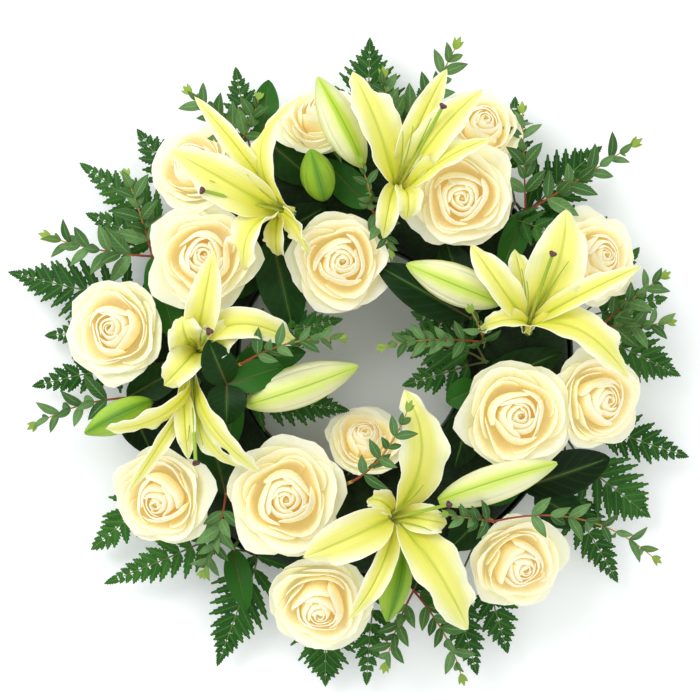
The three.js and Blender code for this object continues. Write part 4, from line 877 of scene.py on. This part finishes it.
def grow_rose(rose, seed):
    """Whorls of petals from the heart out, a calyx cup, a core, sepals and a stem."""
    sprig = Sprig(seed)
    draw = sprig.draw
    _, middle, head_radius, lean, spin = rose
    size = head_radius * MM
    direction = facing(*lean)
    base = place(middle) - ROSE_CENTRE * size * direction
    turn = turn_to(direction, spin)

    def spot(points):
        return base + size * points @ turn.T

    v = np.linspace(0, 1, ROSE_ROWS + 1)[:, None]
    u = np.sin(np.linspace(-1, 1, ROSE_COLUMNS + 1) * math.pi / 2)[None, :]
    rounding = 0.70 + 0.26 * np.sqrt(1 - np.abs(u) ** 2.6)
    aside = draw.uniform(-0.09, 0.09, 2)
    corners = draw.uniform(0, 2 * math.pi, 4)
    start = 0.0
    for count, first, last, width, most, roll in ROSE_WHORLS:
        start += 47 + draw.uniform(-10, 10)
        for petal in range(count):
            shift = draw.uniform(-0.012, 0.012)
            point = 0.045 * np.exp(-(((u - draw.uniform(-0.4, 0.4)) / 0.22) ** 2)) * min(1, roll)
            ragged = np.sin(11 * u + draw.uniform(0, 6)) + np.sin(19 * u + draw.uniform(0, 6))
            reach = draw.uniform(0.95, 1.03) if roll > OUTER_ROLL else draw.uniform(0.96, 1.02)
            s = v * (rounding + point + 0.006 * roll * ragged) * reach
            q = first + (last - first) * (u + 1) / 2 + shift
            phase = draw.uniform(0, 2 * math.pi, 3)
            q = np.clip(q + 0.012 * np.sin(2.6 * u + phase[0]) * s**2, 0, 1.02)
            radius, height = rose_surface(q, np.clip(s, 0, 1))
            broad = width * (0.4 + 0.6 * np.sin(np.minimum(s / 0.7, 1) * math.pi / 2))
            half = np.minimum(broad / radius, math.radians(most))
            open_rim = np.clip((s - 0.66) / 0.34, 0, None) ** 2 * roll * draw.uniform(0.6, 1.5)
            margin = np.abs(u) ** 4 * s**3 * roll
            radius = radius + open_rim * (0.03 + 0.08 * q) + 0.035 * margin
            height = height - open_rim * 0.09 * q**2 - 0.05 * margin * q
            radius = radius + 0.012 * roll * np.sin(5.5 * u + phase[1]) * s**4
            height = height + (0.012 + 0.02 * q) * roll * np.sin(7.5 * u + phase[2]) * s**5
            angle = math.radians(start + petal * 360 / count + draw.uniform(-6, 6)) + u * half
            off = (1 - q) * s
            three = np.sin(3 * angle + 7 * q + corners[0]) * np.sin(math.pi * np.clip(q, 0, 1))
            five = np.sin(5 * angle - 4 * q + corners[1]) * q
            radius = radius * (1 + 0.075 * three + 0.035 * five)
            height = height + 0.035 * q * s * np.sin(2 * angle + corners[2])
            points = np.stack([
                radius * np.cos(angle) + aside[0] * off,
                radius * np.sin(angle) + aside[1] * off,
                height + 0 * angle,
            ], axis=-1)
            leaf = np.stack(np.broadcast_arrays((u + 1) / 2, v), axis=-1)
            sprig.blade(spot(points), leaf, (draw.random(), (first + last) / 2))

    radii, heights = ROSE_CUP[:, :1], ROSE_CUP[:, 1:]
    sprig.loft(spot(turned(radii, heights, 20)))
    radii, heights = ROSE_CORE[:, :1], ROSE_CORE[:, 1:]
    lean_in = np.clip(heights, 0, 1)
    sprig.loft(spot(turned(radii, heights, 20, (aside[0] * lean_in, aside[1] * lean_in))), (0.5, 0.1), 0)
    for sepal in range(SEPALS):
        compass = math.radians(360 / SEPALS * sepal + draw.uniform(-8, 8))
        out = np.array([math.cos(compass), math.sin(compass), 0])
        reach, drop = draw.uniform(0.5, 0.62), draw.uniform(-0.05, 0.12)
        crest = (0.2 + 0.5 * reach) * out + (0.14 + drop) * UP
        line = arc(0.17 * out + 0.02 * UP, crest, (0.2 + reach) * out + drop * UP)
        grow_blade(
            sprig, spot(line), direction,
            lambda t: 0.09 * size * (1 - t) ** 0.7 * (0.6 + 0.8 * t),
            lambda t, w, half: 0.2 * half * w**2,
            8, 4, (draw.random(), 0.3), finish=1,
        )
    compass = math.radians(lean[0])
    x, y = middle[:2]
    under = (x - ROSE_STEM_SLANT * math.cos(compass), y + ROSE_STEM_SLANT * math.sin(compass))
    end = in_foam(under, margin=ROSE_STEM_MARGIN)
    sprig.stem([end, base + 0.02 * size * direction], ROSE_STEM, 10, 4)
    return sprig


# Lilies
LILY_FOOT = 6.5 * MM  # radius of the ring that the tepals leave from
LILY_TUBE = 11 * MM  # depth of the funnel below it
LILY_CLAW = 3.7 * MM  # half width of a tepal there
LILY_FUNNEL = np.array([(2.6, -14), (3.3, -12), (3.6, -10), (3.0, -8.5)]) * MM
LILY_STEM = (3.0 * MM, 3.0 * MM)
LILY_SEAT = 8 * MM  # how deep in the throat the style and the filaments start
TEPAL_FOOT = 2.6 * MM  # how far from the funnel's axis a tepal starts
FILAMENT_RING = 1.8 * MM
STYLE = (1.25 * MM, 1.15 * MM)
FILAMENT = (0.7 * MM, 0.3 * MM)
STIGMA = np.array([(0.5, -1.6), (1.5, -1.1), (2.3, -0.2), (2.5, 0.6), (1.9, 1.3), (0.6, 1.25)]) * MM


def grow_tepal(sprig, heart, direction, foot, tepal):
    """A tepal out of the funnel: cupped, grooved along its middle, with ruffled margins."""
    draw = sprig.draw
    middle, tip, width, twist, cup = tepal
    width *= MM
    blade = arc(foot, place(middle), place(tip))
    out = unit(foot - heart)
    tube = heart - LILY_TUBE * direction + TEPAL_FOOT * out
    down = tube + (foot - tube) * np.linspace(0, 1, 10, endpoint=False)[:, None]
    line, _ = walk(np.vstack([down, blade]), np.linspace(0, 1, 60))
    for _ in range(4):
        line[1:-1] = (line[:-2] + 2 * line[1:-1] + line[2:]) / 4
    line[:, 2] -= draw.uniform(3, 7) * MM * np.clip(np.linspace(-2.2, 1, 60), 0, None) ** 2
    length = np.linalg.norm(np.diff(blade, axis=0), axis=1).sum()
    begin = LILY_TUBE / (LILY_TUBE + length)
    phase = draw.uniform(0, 2 * math.pi, 4)
    ruffle = draw.uniform(0.8, 1.3) * width * 0.085

    def half_width(t):
        s = np.clip((t - begin) / (1 - begin), 0, 1)
        broad = width / 2 * np.sin(math.pi * s**0.9) ** 0.8
        return np.sqrt(broad**2 + (LILY_CLAW * (1 - s) ** 2) ** 2)

    def relief(t, u, half):
        s = np.clip((t - begin) / (1 - begin), 0, 1)
        groove = -0.8 * np.exp(-((u / 0.1) ** 2)) + 0.35 * np.exp(-(((np.abs(u) - 0.26) / 0.12) ** 2))
        wave = np.sin(17 * s + phase[0] + 1.6 * u) + 0.7 * np.sin(31 * s + phase[1] * np.sign(u))
        margin = np.abs(u) ** 3.5
        fade = np.sin(math.pi * np.clip(s, 0, 1)) ** 0.5
        cupped = (cup * (1 - 0.5 * s) + 0.35 * (1 - s) ** 3) * half * u**2
        back = 0.5 * half * np.abs(u) ** 2 * np.clip((s - 0.7) / 0.3, 0, 1) * (1 if cup > 0 else -0.5)
        crease = groove * 1.3 * MM * np.minimum(1, half / (4 * MM))
        return cupped - back + fade * (crease + ruffle * np.clip(1.7 * s - 0.2, 0, 1) * wave * margin)

    grow_blade(sprig, line, direction, half_width, relief, 30, 14, (draw.random(), 0.5), twist)
    leaf_map = sprig.blades[-1][2]
    leaf_map[:, 1] = np.clip((leaf_map[:, 1] - begin) / (1 - begin), 0, 1)


def grow_lily(lily, seed):
    """Tepals evenly round the throat, a style with its stigma, filaments, a funnel and a stem."""
    sprig = Sprig(seed)
    _, throat, lean, root, stigma, filaments, tepals = lily
    direction = facing(*lean)
    heart = place(throat)
    turn = turn_to(direction)

    def compass(tepal):
        local = (place(tepal[0]) - heart) @ turn
        return math.atan2(local[1], local[0])

    tepals = sorted(tepals, key=compass)
    step = 2 * math.pi / len(tepals)
    offset = sum(compass(tepal) - i * step for i, tepal in enumerate(tepals)) / len(tepals)
    for i, tepal in enumerate(tepals):
        angle = offset + i * step
        out = turn @ np.array([math.cos(angle), math.sin(angle), 0])
        grow_tepal(sprig, heart, direction, heart + LILY_FOOT * math.cos(step / 2) * out, tepal)

    seat = heart - LILY_SEAT * direction
    style = place(stigma)
    bent = (seat + style) / 2 + 2 * MM * direction
    line = arc(seat, bent, style)
    sprig.stem(line, STYLE, 8, 10)
    grow_stigma(sprig, style, unit(line[-1] - line[-4]))
    for filament in filaments:
        tip = place(filament)
        out = tip - heart
        out = unit(out - direction * (out @ direction))
        base = seat + FILAMENT_RING * out
        bent = (base + tip) / 2 + 2.5 * MM * direction - 1.0 * MM * out
        sprig.stem(arc(base, bent, tip), FILAMENT, 6, 8)

    sprig.stem([in_foam(root), heart - 10 * MM * direction], LILY_STEM, 10, 4, finish=3)
    sprig.loft(heart + turned(LILY_FUNNEL[:, :1], LILY_FUNNEL[:, 1:], 18) @ turn.T, finish=3)
    return sprig


def grow_stigma(sprig, at, direction):
    """Three felted lobes on the end of the style."""
    lobes = 1 + 0.24 * np.cos(3 * np.linspace(0, 2 * math.pi, 24, endpoint=False))
    radii = STIGMA[:, :1] * (1 + (lobes - 1) * np.linspace(0.3, 1, len(STIGMA))[:, None])
    sprig.loft(at + turned(radii, STIGMA[:, 1:], 24) @ turn_to(direction).T, finish=2)


# Buds
BUD_PROFILE = ((0, 0.2), (0.06, 0.46), (0.14, 0.68), (0.25, 0.88), (0.4, 1), (0.55, 0.97), (0.7, 0.82),
               (0.82, 0.6), (0.92, 0.36), (0.975, 0.2), (1, 0.08))
BUD_STALK = (2.0 * MM, 1.8 * MM)


def grow_bud(bud, seed):
    """A closed bud with three lobes, a ribbed groove down each and a seam between, on its stalk."""
    sprig = Sprig(seed)
    _, stalk_end, closed_tip, width, _, band = bud
    start, end = place(stalk_end), place(closed_tip)
    axis = end - start
    length = np.linalg.norm(axis)
    overhead = turn_to(axis / length).T @ UP
    band_up = math.degrees(math.atan2(overhead[1], overhead[0]))
    turn = turn_to(axis / length, band_up + sprig.draw.uniform(-14, 14))
    shares = np.linspace(0, 1, 30)
    knots = np.array(BUD_PROFILE)
    wide = np.interp(shares, knots[:, 0], knots[:, 1])
    wide[1:-1] = (wide[:-2] + 2 * wide[1:-1] + wide[2:]) / 4
    angles = np.linspace(0, 2 * math.pi, 48, endpoint=False)
    third = np.abs((angles * 3 / (2 * math.pi) + 0.5) % 1 - 0.5)
    lobes = 0.05 * np.cos(3 * angles)
    ribs = 0.05 * np.exp(-(((third - 0.1) / 0.035) ** 2)) - 0.045 * np.exp(-((third / 0.035) ** 2))
    seam = -0.07 * np.exp(-(((0.5 - third) / 0.03) ** 2))
    fade = np.sin(math.pi * np.clip(shares, 0.02, 0.98)) ** 0.4
    radii = 0.5 * width * MM * wide[:, None] * (1 + fade[:, None] * (lobes + ribs + seam))
    bow = 0.02 * length * np.sin(math.pi * shares)[:, None]
    rings = turned(radii, shares[:, None] * length, 48, (bow, 0))
    sprig.loft(start + rings @ turn.T, (band, 0.5), finish=0)
    sprig.stem([in_foam(stalk_end), start + 0.04 * axis], BUD_STALK, 8, 4)
    return sprig


# Ferns. A leaflet is one toothed strip, folded a little along its rib.
FERN_SPACING = 7.8 * MM
FERN_CROWDING = 1.15  # pairs of leaflets in each spacing; they stand closer towards the tip
LEAFLET_TEETH = 6
FROND_RIB = (0.8 * MM, 0.3 * MM)
LEAFLET_LEAST = 2 * MM  # the reach of a leaflet where the frond's outline closes
END_LEAFLET_WIDTH = 6 * MM


def leaflet_outline():
    """Where the stations lie along the leaflet, at its rib and at its edge, and how wide it is there."""
    stations = [(0.0, 0.0, 0.2)]
    for tooth in range(LEAFLET_TEETH):
        here = (tooth + 0.6) / LEAFLET_TEETH
        broad = (1 - here**2.4) * min(1, 0.62 + 1.8 * here)
        stations.append(((tooth + 0.35) / LEAFLET_TEETH, (tooth + 0.9) / LEAFLET_TEETH, broad))
        notch = (tooth + 1) / LEAFLET_TEETH
        if tooth < LEAFLET_TEETH - 1:
            stations.append((notch - 0.25 / LEAFLET_TEETH, notch, 0.72 * (1 - notch**2.4)))
    stations.append((1.0, 1.0, 0.02))
    return np.array(stations)


LEAFLET = leaflet_outline()


def grow_leaflet(sprig, base, axis, normal, length, width, droop, tint):
    """One toothed leaflet from its base along an axis, drooping towards its tip."""
    side = unit(np.cross(normal, axis))
    rib, edge, broad = LEAFLET.T
    u = np.array([-1.0, 0.0, 1.0])
    along = np.where(u[None, :] == 0, rib[:, None], edge[:, None]) * length
    across = u[None, :] * broad[:, None] * width / 2
    rise = -0.2 * np.abs(across) - droop * (along / length) ** 2 * length
    points = base + along[..., None] * axis + across[..., None] * side + rise[..., None] * normal
    leaf = np.stack(np.broadcast_arrays(0.5 + 0.5 * u[None, :] * broad[:, None], rib[:, None]), axis=-1)
    sprig.blade(points, leaf, tint, FERN_LEAF)


def grow_frond(sprig, fork, frond):
    """A frond on its bare rib from the fork: pairs of leaflets that shorten to the tip, and a last one."""
    draw = sprig.draw
    start, end, width = frond
    start, end, width = place(start), place(end), width * MM
    middle = (start + end) / 2 + FROND_ARCH * UP
    line = through([fork, start, middle, end])
    bare = np.linalg.norm(start - fork)
    reached = np.linalg.norm(end - start)
    begin = bare / (bare + reached)
    pairs = round(FERN_CROWDING * reached / FERN_SPACING)
    steps = 1 - (1 - np.arange(pairs) / pairs) ** 1.4
    spots, tangents, sides, normals = frames_along(line, UP, begin + (1 - begin) * 0.96 * steps)
    shade = draw.uniform(0.1, 0.75)
    for i, share in enumerate(steps):
        for hand in (-1, 1):
            reach = width / 2 * (1 - share**1.5) * draw.uniform(0.92, 1.08) + LEAFLET_LEAST
            lean = draw.uniform(0.6, 0.8) + 0.5 * share
            axis = unit(hand * sides[i] + lean * tangents[i] + draw.uniform(-0.12, 0.04) * normals[i])
            tilt = unit(normals[i] + draw.uniform(-0.25, 0.25) * tangents[i])
            normal = unit(tilt - axis * (tilt @ axis))
            tint = (np.clip(shade + draw.uniform(-0.2, 0.2), 0, 1), 0.0)
            broad = min(1.1 * FERN_SPACING, 0.62 * reach + 2.2 * MM)
            base = spots[i] + hand * 0.4 * MM * sides[i]
            grow_leaflet(sprig, base, axis, normal, reach * 1.2, broad, draw.uniform(0.04, 0.14), tint)
    last, toward, _, upward = frames_along(line, UP, np.array([0.94]))
    length = 0.06 * reached + 5 * MM
    grow_leaflet(sprig, last[0], toward[0], upward[0], length, END_LEAFLET_WIDTH, 0.05, (shade, 0.0))
    sprig.stem(line[: int(len(line) * 0.98)], FROND_RIB, 6, 14, finish=FERN_RIB)


# Broad leaves: dark ones, and the narrower fresh green ones of the lilies
LILY_LEAF = 23  # broad leaves narrower than this are fresh green
LEAF_STALK = (0.8 * MM, 0.25 * MM)
MIDRIB_DEPTH = 0.35 * MM


def grow_broad_leaf(sprig, fork, leaf):
    """One broad leaf from a fork to its tip, on a bare stalk for the first share of its length."""
    draw = sprig.draw
    tip, width, arch, bare = leaf
    tip = place(tip)
    line = arc(fork, (fork + tip) / 2 + arch * MM * UP, tip)
    phase = draw.uniform(0, 2 * math.pi)

    def half_width(t):
        return width * MM / 2 * np.sin(math.pi * np.clip(t, 0, 1) ** 0.85) ** 0.7

    def relief(t, u, half):
        wave = 0.05 * half * np.sin(9 * t + phase + 2 * u) * u**2
        return 0.18 * half * np.abs(u) ** 1.3 + wave - MIDRIB_DEPTH * np.exp(-((u / 0.09) ** 2))

    blade = walk(line, np.linspace(bare, 1, 40))[0]
    tint = (draw.random(), 0.9 if width < LILY_LEAF else 0.0)
    grow_blade(sprig, blade, UP, half_width, relief, 20, 12, tint, finish=BROAD_LEAF)
    sprig.stem(line[:44] - MIDRIB_DEPTH * UP, LEAF_STALK, 6, 10, finish=BROAD_STALK)


# Eucalyptus
TWIG_RADII = (0.8 * MM, 0.35 * MM)
STALK = (1.3 * MM, 1.1 * MM)  # of all that grows on one stalk


def grow_small_leaf(sprig, base, out, normal, length, broad, tint):
    """A small oval leaf, folded a little along its rib."""
    tip = base + out * length
    bend = (base + tip) / 2 + 0.07 * length * normal
    grow_blade(
        sprig, arc(base, bend, tip, 12), normal,
        lambda t: broad / 2 * np.sin(math.pi * np.clip(t, 0, 1) ** 0.85) ** 0.9,
        lambda t, u, half: 0.24 * half * np.abs(u), 8, 2, tint, finish=SMALL_LEAF,
    )


def grow_twig(sprig, fork, twig):
    """Pairs of small leaves, every second pair turned across the first, and three young ones at the tip."""
    draw = sprig.draw
    tip, bend, pairs, leaf_length = twig
    leaf_length *= MM
    line = arc(fork, place(bend), place(tip))
    pairs *= 2
    shares = 0.2 + 0.76 * np.arange(pairs) / pairs
    spots, tangents, sides, normals = frames_along(line, UP, shares)
    for i, share in enumerate(shares):
        size = 1.2 * leaf_length * (1 - 0.38 * share) * (1.0 if i % 2 == 0 else 0.85)
        turn = (0.0 if i % 2 == 0 else 1.15) + draw.uniform(-0.4, 0.4)
        around = sides[i] * math.cos(turn) + normals[i] * math.sin(turn)
        for hand in (-1, 1):
            lift = (0.35 if i % 4 == 2 else 0.05) + draw.uniform(-0.12, 0.12)
            out = unit(hand * 0.8 * around + draw.uniform(0.4, 1.0) * tangents[i] + lift * normals[i])
            face = normals[i] + 0.35 * tangents[i] + draw.uniform(-0.3, 0.3) * sides[i]
            face = unit(face - out * (out @ face))
            young = np.clip((share - 0.65) / 0.35, 0, 1) * draw.uniform(0.4, 1.0)
            length = size * draw.uniform(0.78, 1.12)
            grow_small_leaf(sprig, spots[i], out, face, length, 0.4 * length, (draw.random(), young))
    end, ahead, aside, upward = frames_along(line, UP, np.array([0.97]))
    for turn in (-0.45, 0.0, 0.45):
        out = unit(ahead[0] + turn * aside[0] + draw.uniform(-0.1, 0.3) * upward[0])
        face = unit(upward[0] - out * (out @ upward[0]))
        length = leaf_length * (0.5 if turn == 0 else 0.42)
        tint = (draw.random(), draw.uniform(0.8, 1.0))
        grow_small_leaf(sprig, end[0], out, face, length, 0.36 * length, tint)
    sprig.stem(line[: int(len(line) * 0.99)], TWIG_RADII, 6, 12, finish=TWIG)


def grow_foliage(plant, seed, finish):
    """A stalk in the foam, and the fronds, twigs and broad leaves on its top and on its lower fork."""
    sprig = Sprig(seed)
    end = in_foam(plant["root"], STEM_END if "fork" in plant else FROND_STEM_END)
    if "fork" in plant:
        top = place(plant["fork"])
    else:
        top = ring_middle + unit((end - ring_middle) * (1, 1, 0)) * FORK_RADIUS + UP * FORK_HEIGHT
    sprig.stem([end, top], STALK, 8, 4, finish=finish)
    forks = [(top, plant)]
    if "low" in plant:
        forks.append((place(plant["low"]["fork"]), plant["low"]))
    for fork, carried in forks:
        for frond in carried.get("fronds", []):
            grow_frond(sprig, fork, frond)
        for twig in carried.get("twigs", []):
            grow_twig(sprig, fork, twig)
        for leaf in carried.get("leaves", []):
            grow_broad_leaf(sprig, fork, leaf)
    return sprig


for number, rose in enumerate(ROSES):
    grow_piece(grow_rose(rose, 100 + number), rose[0], "bloom", ROSE_FINISHES, PETAL_THICKNESS)
for number, lily in enumerate(LILIES):
    grow_piece(grow_lily(lily, 200 + number), lily[0], "bloom", LILY_FINISHES, PETAL_THICKNESS)
for number, bud in enumerate(BUDS):
    slot = bud[4]
    finishes = BUD_FINISHES if slot == "bud" else GREEN_BUD_FINISHES
    grow_piece(grow_bud(bud, 300 + number), bud[0], "head", finishes, PETAL_THICKNESS)
foliage = (
    (FERNS, "fronds", "fern", 400, FERN_RIB),
    (SALAL, "leaves", "salal", 500, BROAD_STALK),
    (EUCALYPTUS, "twigs", "eucalyptus", 600, TWIG),
)
for plants, suffix, slot, first_seed, stalk in foliage:
    for number, plant in enumerate(plants):
        sprig = grow_foliage(plant, first_seed + number, stalk)
        grow_piece(sprig, plant["name"], suffix, FOLIAGE_FINISHES, LEAF_THICKNESS)


# The foam ring and the tray, each spun from its section
def spun_ring(name, section, node, material):
    """A ring spun from a closed section of radius and height about the ring's centre."""
    bpy.ops.object.select_all(action="DESELECT")
    mesh = bpy.data.meshes.new(name)
    points = [tuple(ring_middle + np.array([radius, 0, height])) for radius, height in section]
    mesh.from_pydata(points, [(i, (i + 1) % len(points)) for i in range(len(points))], [])
    ring = bpy.data.objects.new(name, mesh)
    bpy.context.scene.collection.objects.link(ring)
    select_only(ring)
    bpy.ops.object.mode_set(mode="EDIT")
    bpy.ops.mesh.select_all(action="SELECT")
    bpy.ops.mesh.spin(
        steps=RING_STEPS, angle=2 * math.pi, center=tuple(ring_middle), axis=(0, 0, 1), use_auto_merge=True
    )
    bpy.ops.mesh.select_all(action="SELECT")
    bpy.ops.mesh.remove_doubles(threshold=MERGE_DISTANCE)
    bpy.ops.mesh.normals_make_consistent(inside=False)
    bpy.ops.object.mode_set(mode="OBJECT")
    ring.data.materials.append(material)
    finish_piece(ring, node, smooth_below=40)


def rounded(corners, radius, steps=4):
    """The same closed section with its corners rounded."""
    corners = np.array(corners)
    points = []
    for before, corner, after in zip(np.roll(corners, 1, axis=0), corners, np.roll(corners, -1, axis=0)):
        reach = min(radius, np.linalg.norm(before - corner) / 2.1, np.linalg.norm(after - corner) / 2.1)
        start, end = corner + reach * unit(before - corner), corner + reach * unit(after - corner)
        for t in np.linspace(0, 1, steps + 1):
            points.append((1 - t) ** 2 * start + 2 * t * (1 - t) * corner + t**2 * end)
    return points


tray_foot = TRAY_OUTER_RADIUS - TRAY_FLARE
foam_outer = tray_foot - TRAY_WALL - FOAM_GAP
foam_inner = TRAY_INNER_RADIUS + TRAY_WALL + FOAM_GAP
foam_floor = TRAY_WALL + FOAM_GAP
shoulder = FOAM_TOP - FOAM_SHOULDER
spun_ring("foam_body", rounded([
    (foam_inner, foam_floor), (foam_outer, foam_floor), (foam_outer, shoulder),
    (foam_outer - FOAM_SHOULDER, FOAM_TOP), (foam_inner + FOAM_SHOULDER, FOAM_TOP), (foam_inner, shoulder),
], FOAM_ROUNDING), "foam_ring", foam_material())
spun_ring("tray_shell", rounded([
    (TRAY_INNER_RADIUS, 0), (tray_foot, 0), (TRAY_OUTER_RADIUS, TRAY_HEIGHT),
    (TRAY_OUTER_RADIUS - TRAY_WALL, TRAY_HEIGHT), (tray_foot - TRAY_WALL, TRAY_WALL),
    (TRAY_INNER_RADIUS + TRAY_WALL, TRAY_WALL), (TRAY_INNER_RADIUS + TRAY_WALL, TRAY_HEIGHT),
    (TRAY_INNER_RADIUS, TRAY_HEIGHT),
], TRAY_ROUNDING), "tray", tray_material())


# Floor, light and camera
def add_floor():
    """A wide white floor with a painted glow that grows away from the middle: painted light that lifts the
    wreath's shadow, so the floor is a little brighter outside the wreath, as the photo's is.
    """
    bpy.ops.object.select_all(action="DESELECT")
    bpy.ops.mesh.primitive_plane_add(size=8, location=(0, 0, 0))
    floor = bpy.context.object
    floor.name = "floor"
    material, nodes, shader = new_material("white_floor", 0.9, 0.1)
    spot = nodes.add("ShaderNodeTexCoord").outputs["Object"]
    away = nodes.add("ShaderNodeVectorMath", {"operation": "LENGTH"}, i0=spot).outputs["Value"]
    # Painted light: the floor's bluish emission rises from 90 to 190 mm out from the middle, lifting the
    # wreath's shadow there while the floor in the hole stays darker.
    lift = nodes.ramp(away, 90 * MM, 190 * MM, 0.0, 0.2)
    shader.inputs["Base Color"].default_value = (0.9, 0.93, 0.94, 1)
    shader.inputs["Emission Color"].default_value = (0.93, 0.97, 1.0, 1)
    nodes.tree.links.new(lift, shader.inputs["Emission Strength"])
    floor.data.materials.append(material)


def add_light(name, place_at, size, power):
    """A round white lamp that points at the wreath's middle."""
    light = bpy.data.lights.new(name, "AREA")
    light.shape = "DISK"
    light.size = size
    light.energy = power
    lamp = bpy.data.objects.new(name, light)
    lamp.location = place_at
    lamp.rotation_euler = (-Vector(place_at)).to_track_quat("-Z", "Y").to_euler()
    bpy.context.scene.collection.objects.link(lamp)


def add_sky(strength):
    """The soft light of a pale studio from all round."""
    world = bpy.data.worlds.new("studio")
    world.use_nodes = True
    background = world.node_tree.nodes["Background"]
    background.inputs["Color"].default_value = (1.0, 0.995, 0.98, 1)
    background.inputs["Strength"].default_value = strength
    bpy.context.scene.world = world


CAMERA_HEIGHT = 3.0
VIEW_HEIGHT = 60 * MM  # the height at which the picture's scale holds
PICTURE_SIZE = 700
add_floor()
add_sky(0.84)
add_light("key_light", (-0.9, 0.9, 1.5), 1.2, 17)
add_light("fill_light", (1.2, -0.6, 1.4), 1.6, 4)

middle_x, middle_y, _ = place((PICTURE_SIZE / 2, PICTURE_SIZE / 2))
camera_data = bpy.data.cameras.new("camera_above")
camera_data.sensor_width = 36
camera_data.lens = 36 * (CAMERA_HEIGHT - VIEW_HEIGHT) / (PICTURE_SIZE * PIXEL)
camera_data.clip_end = 20
camera = bpy.data.objects.new("camera_above", camera_data)
camera.location = (middle_x, middle_y, CAMERA_HEIGHT)
bpy.context.scene.collection.objects.link(camera)
bpy.context.scene.camera = camera
bpy.context.scene.view_settings.view_transform = "Standard"
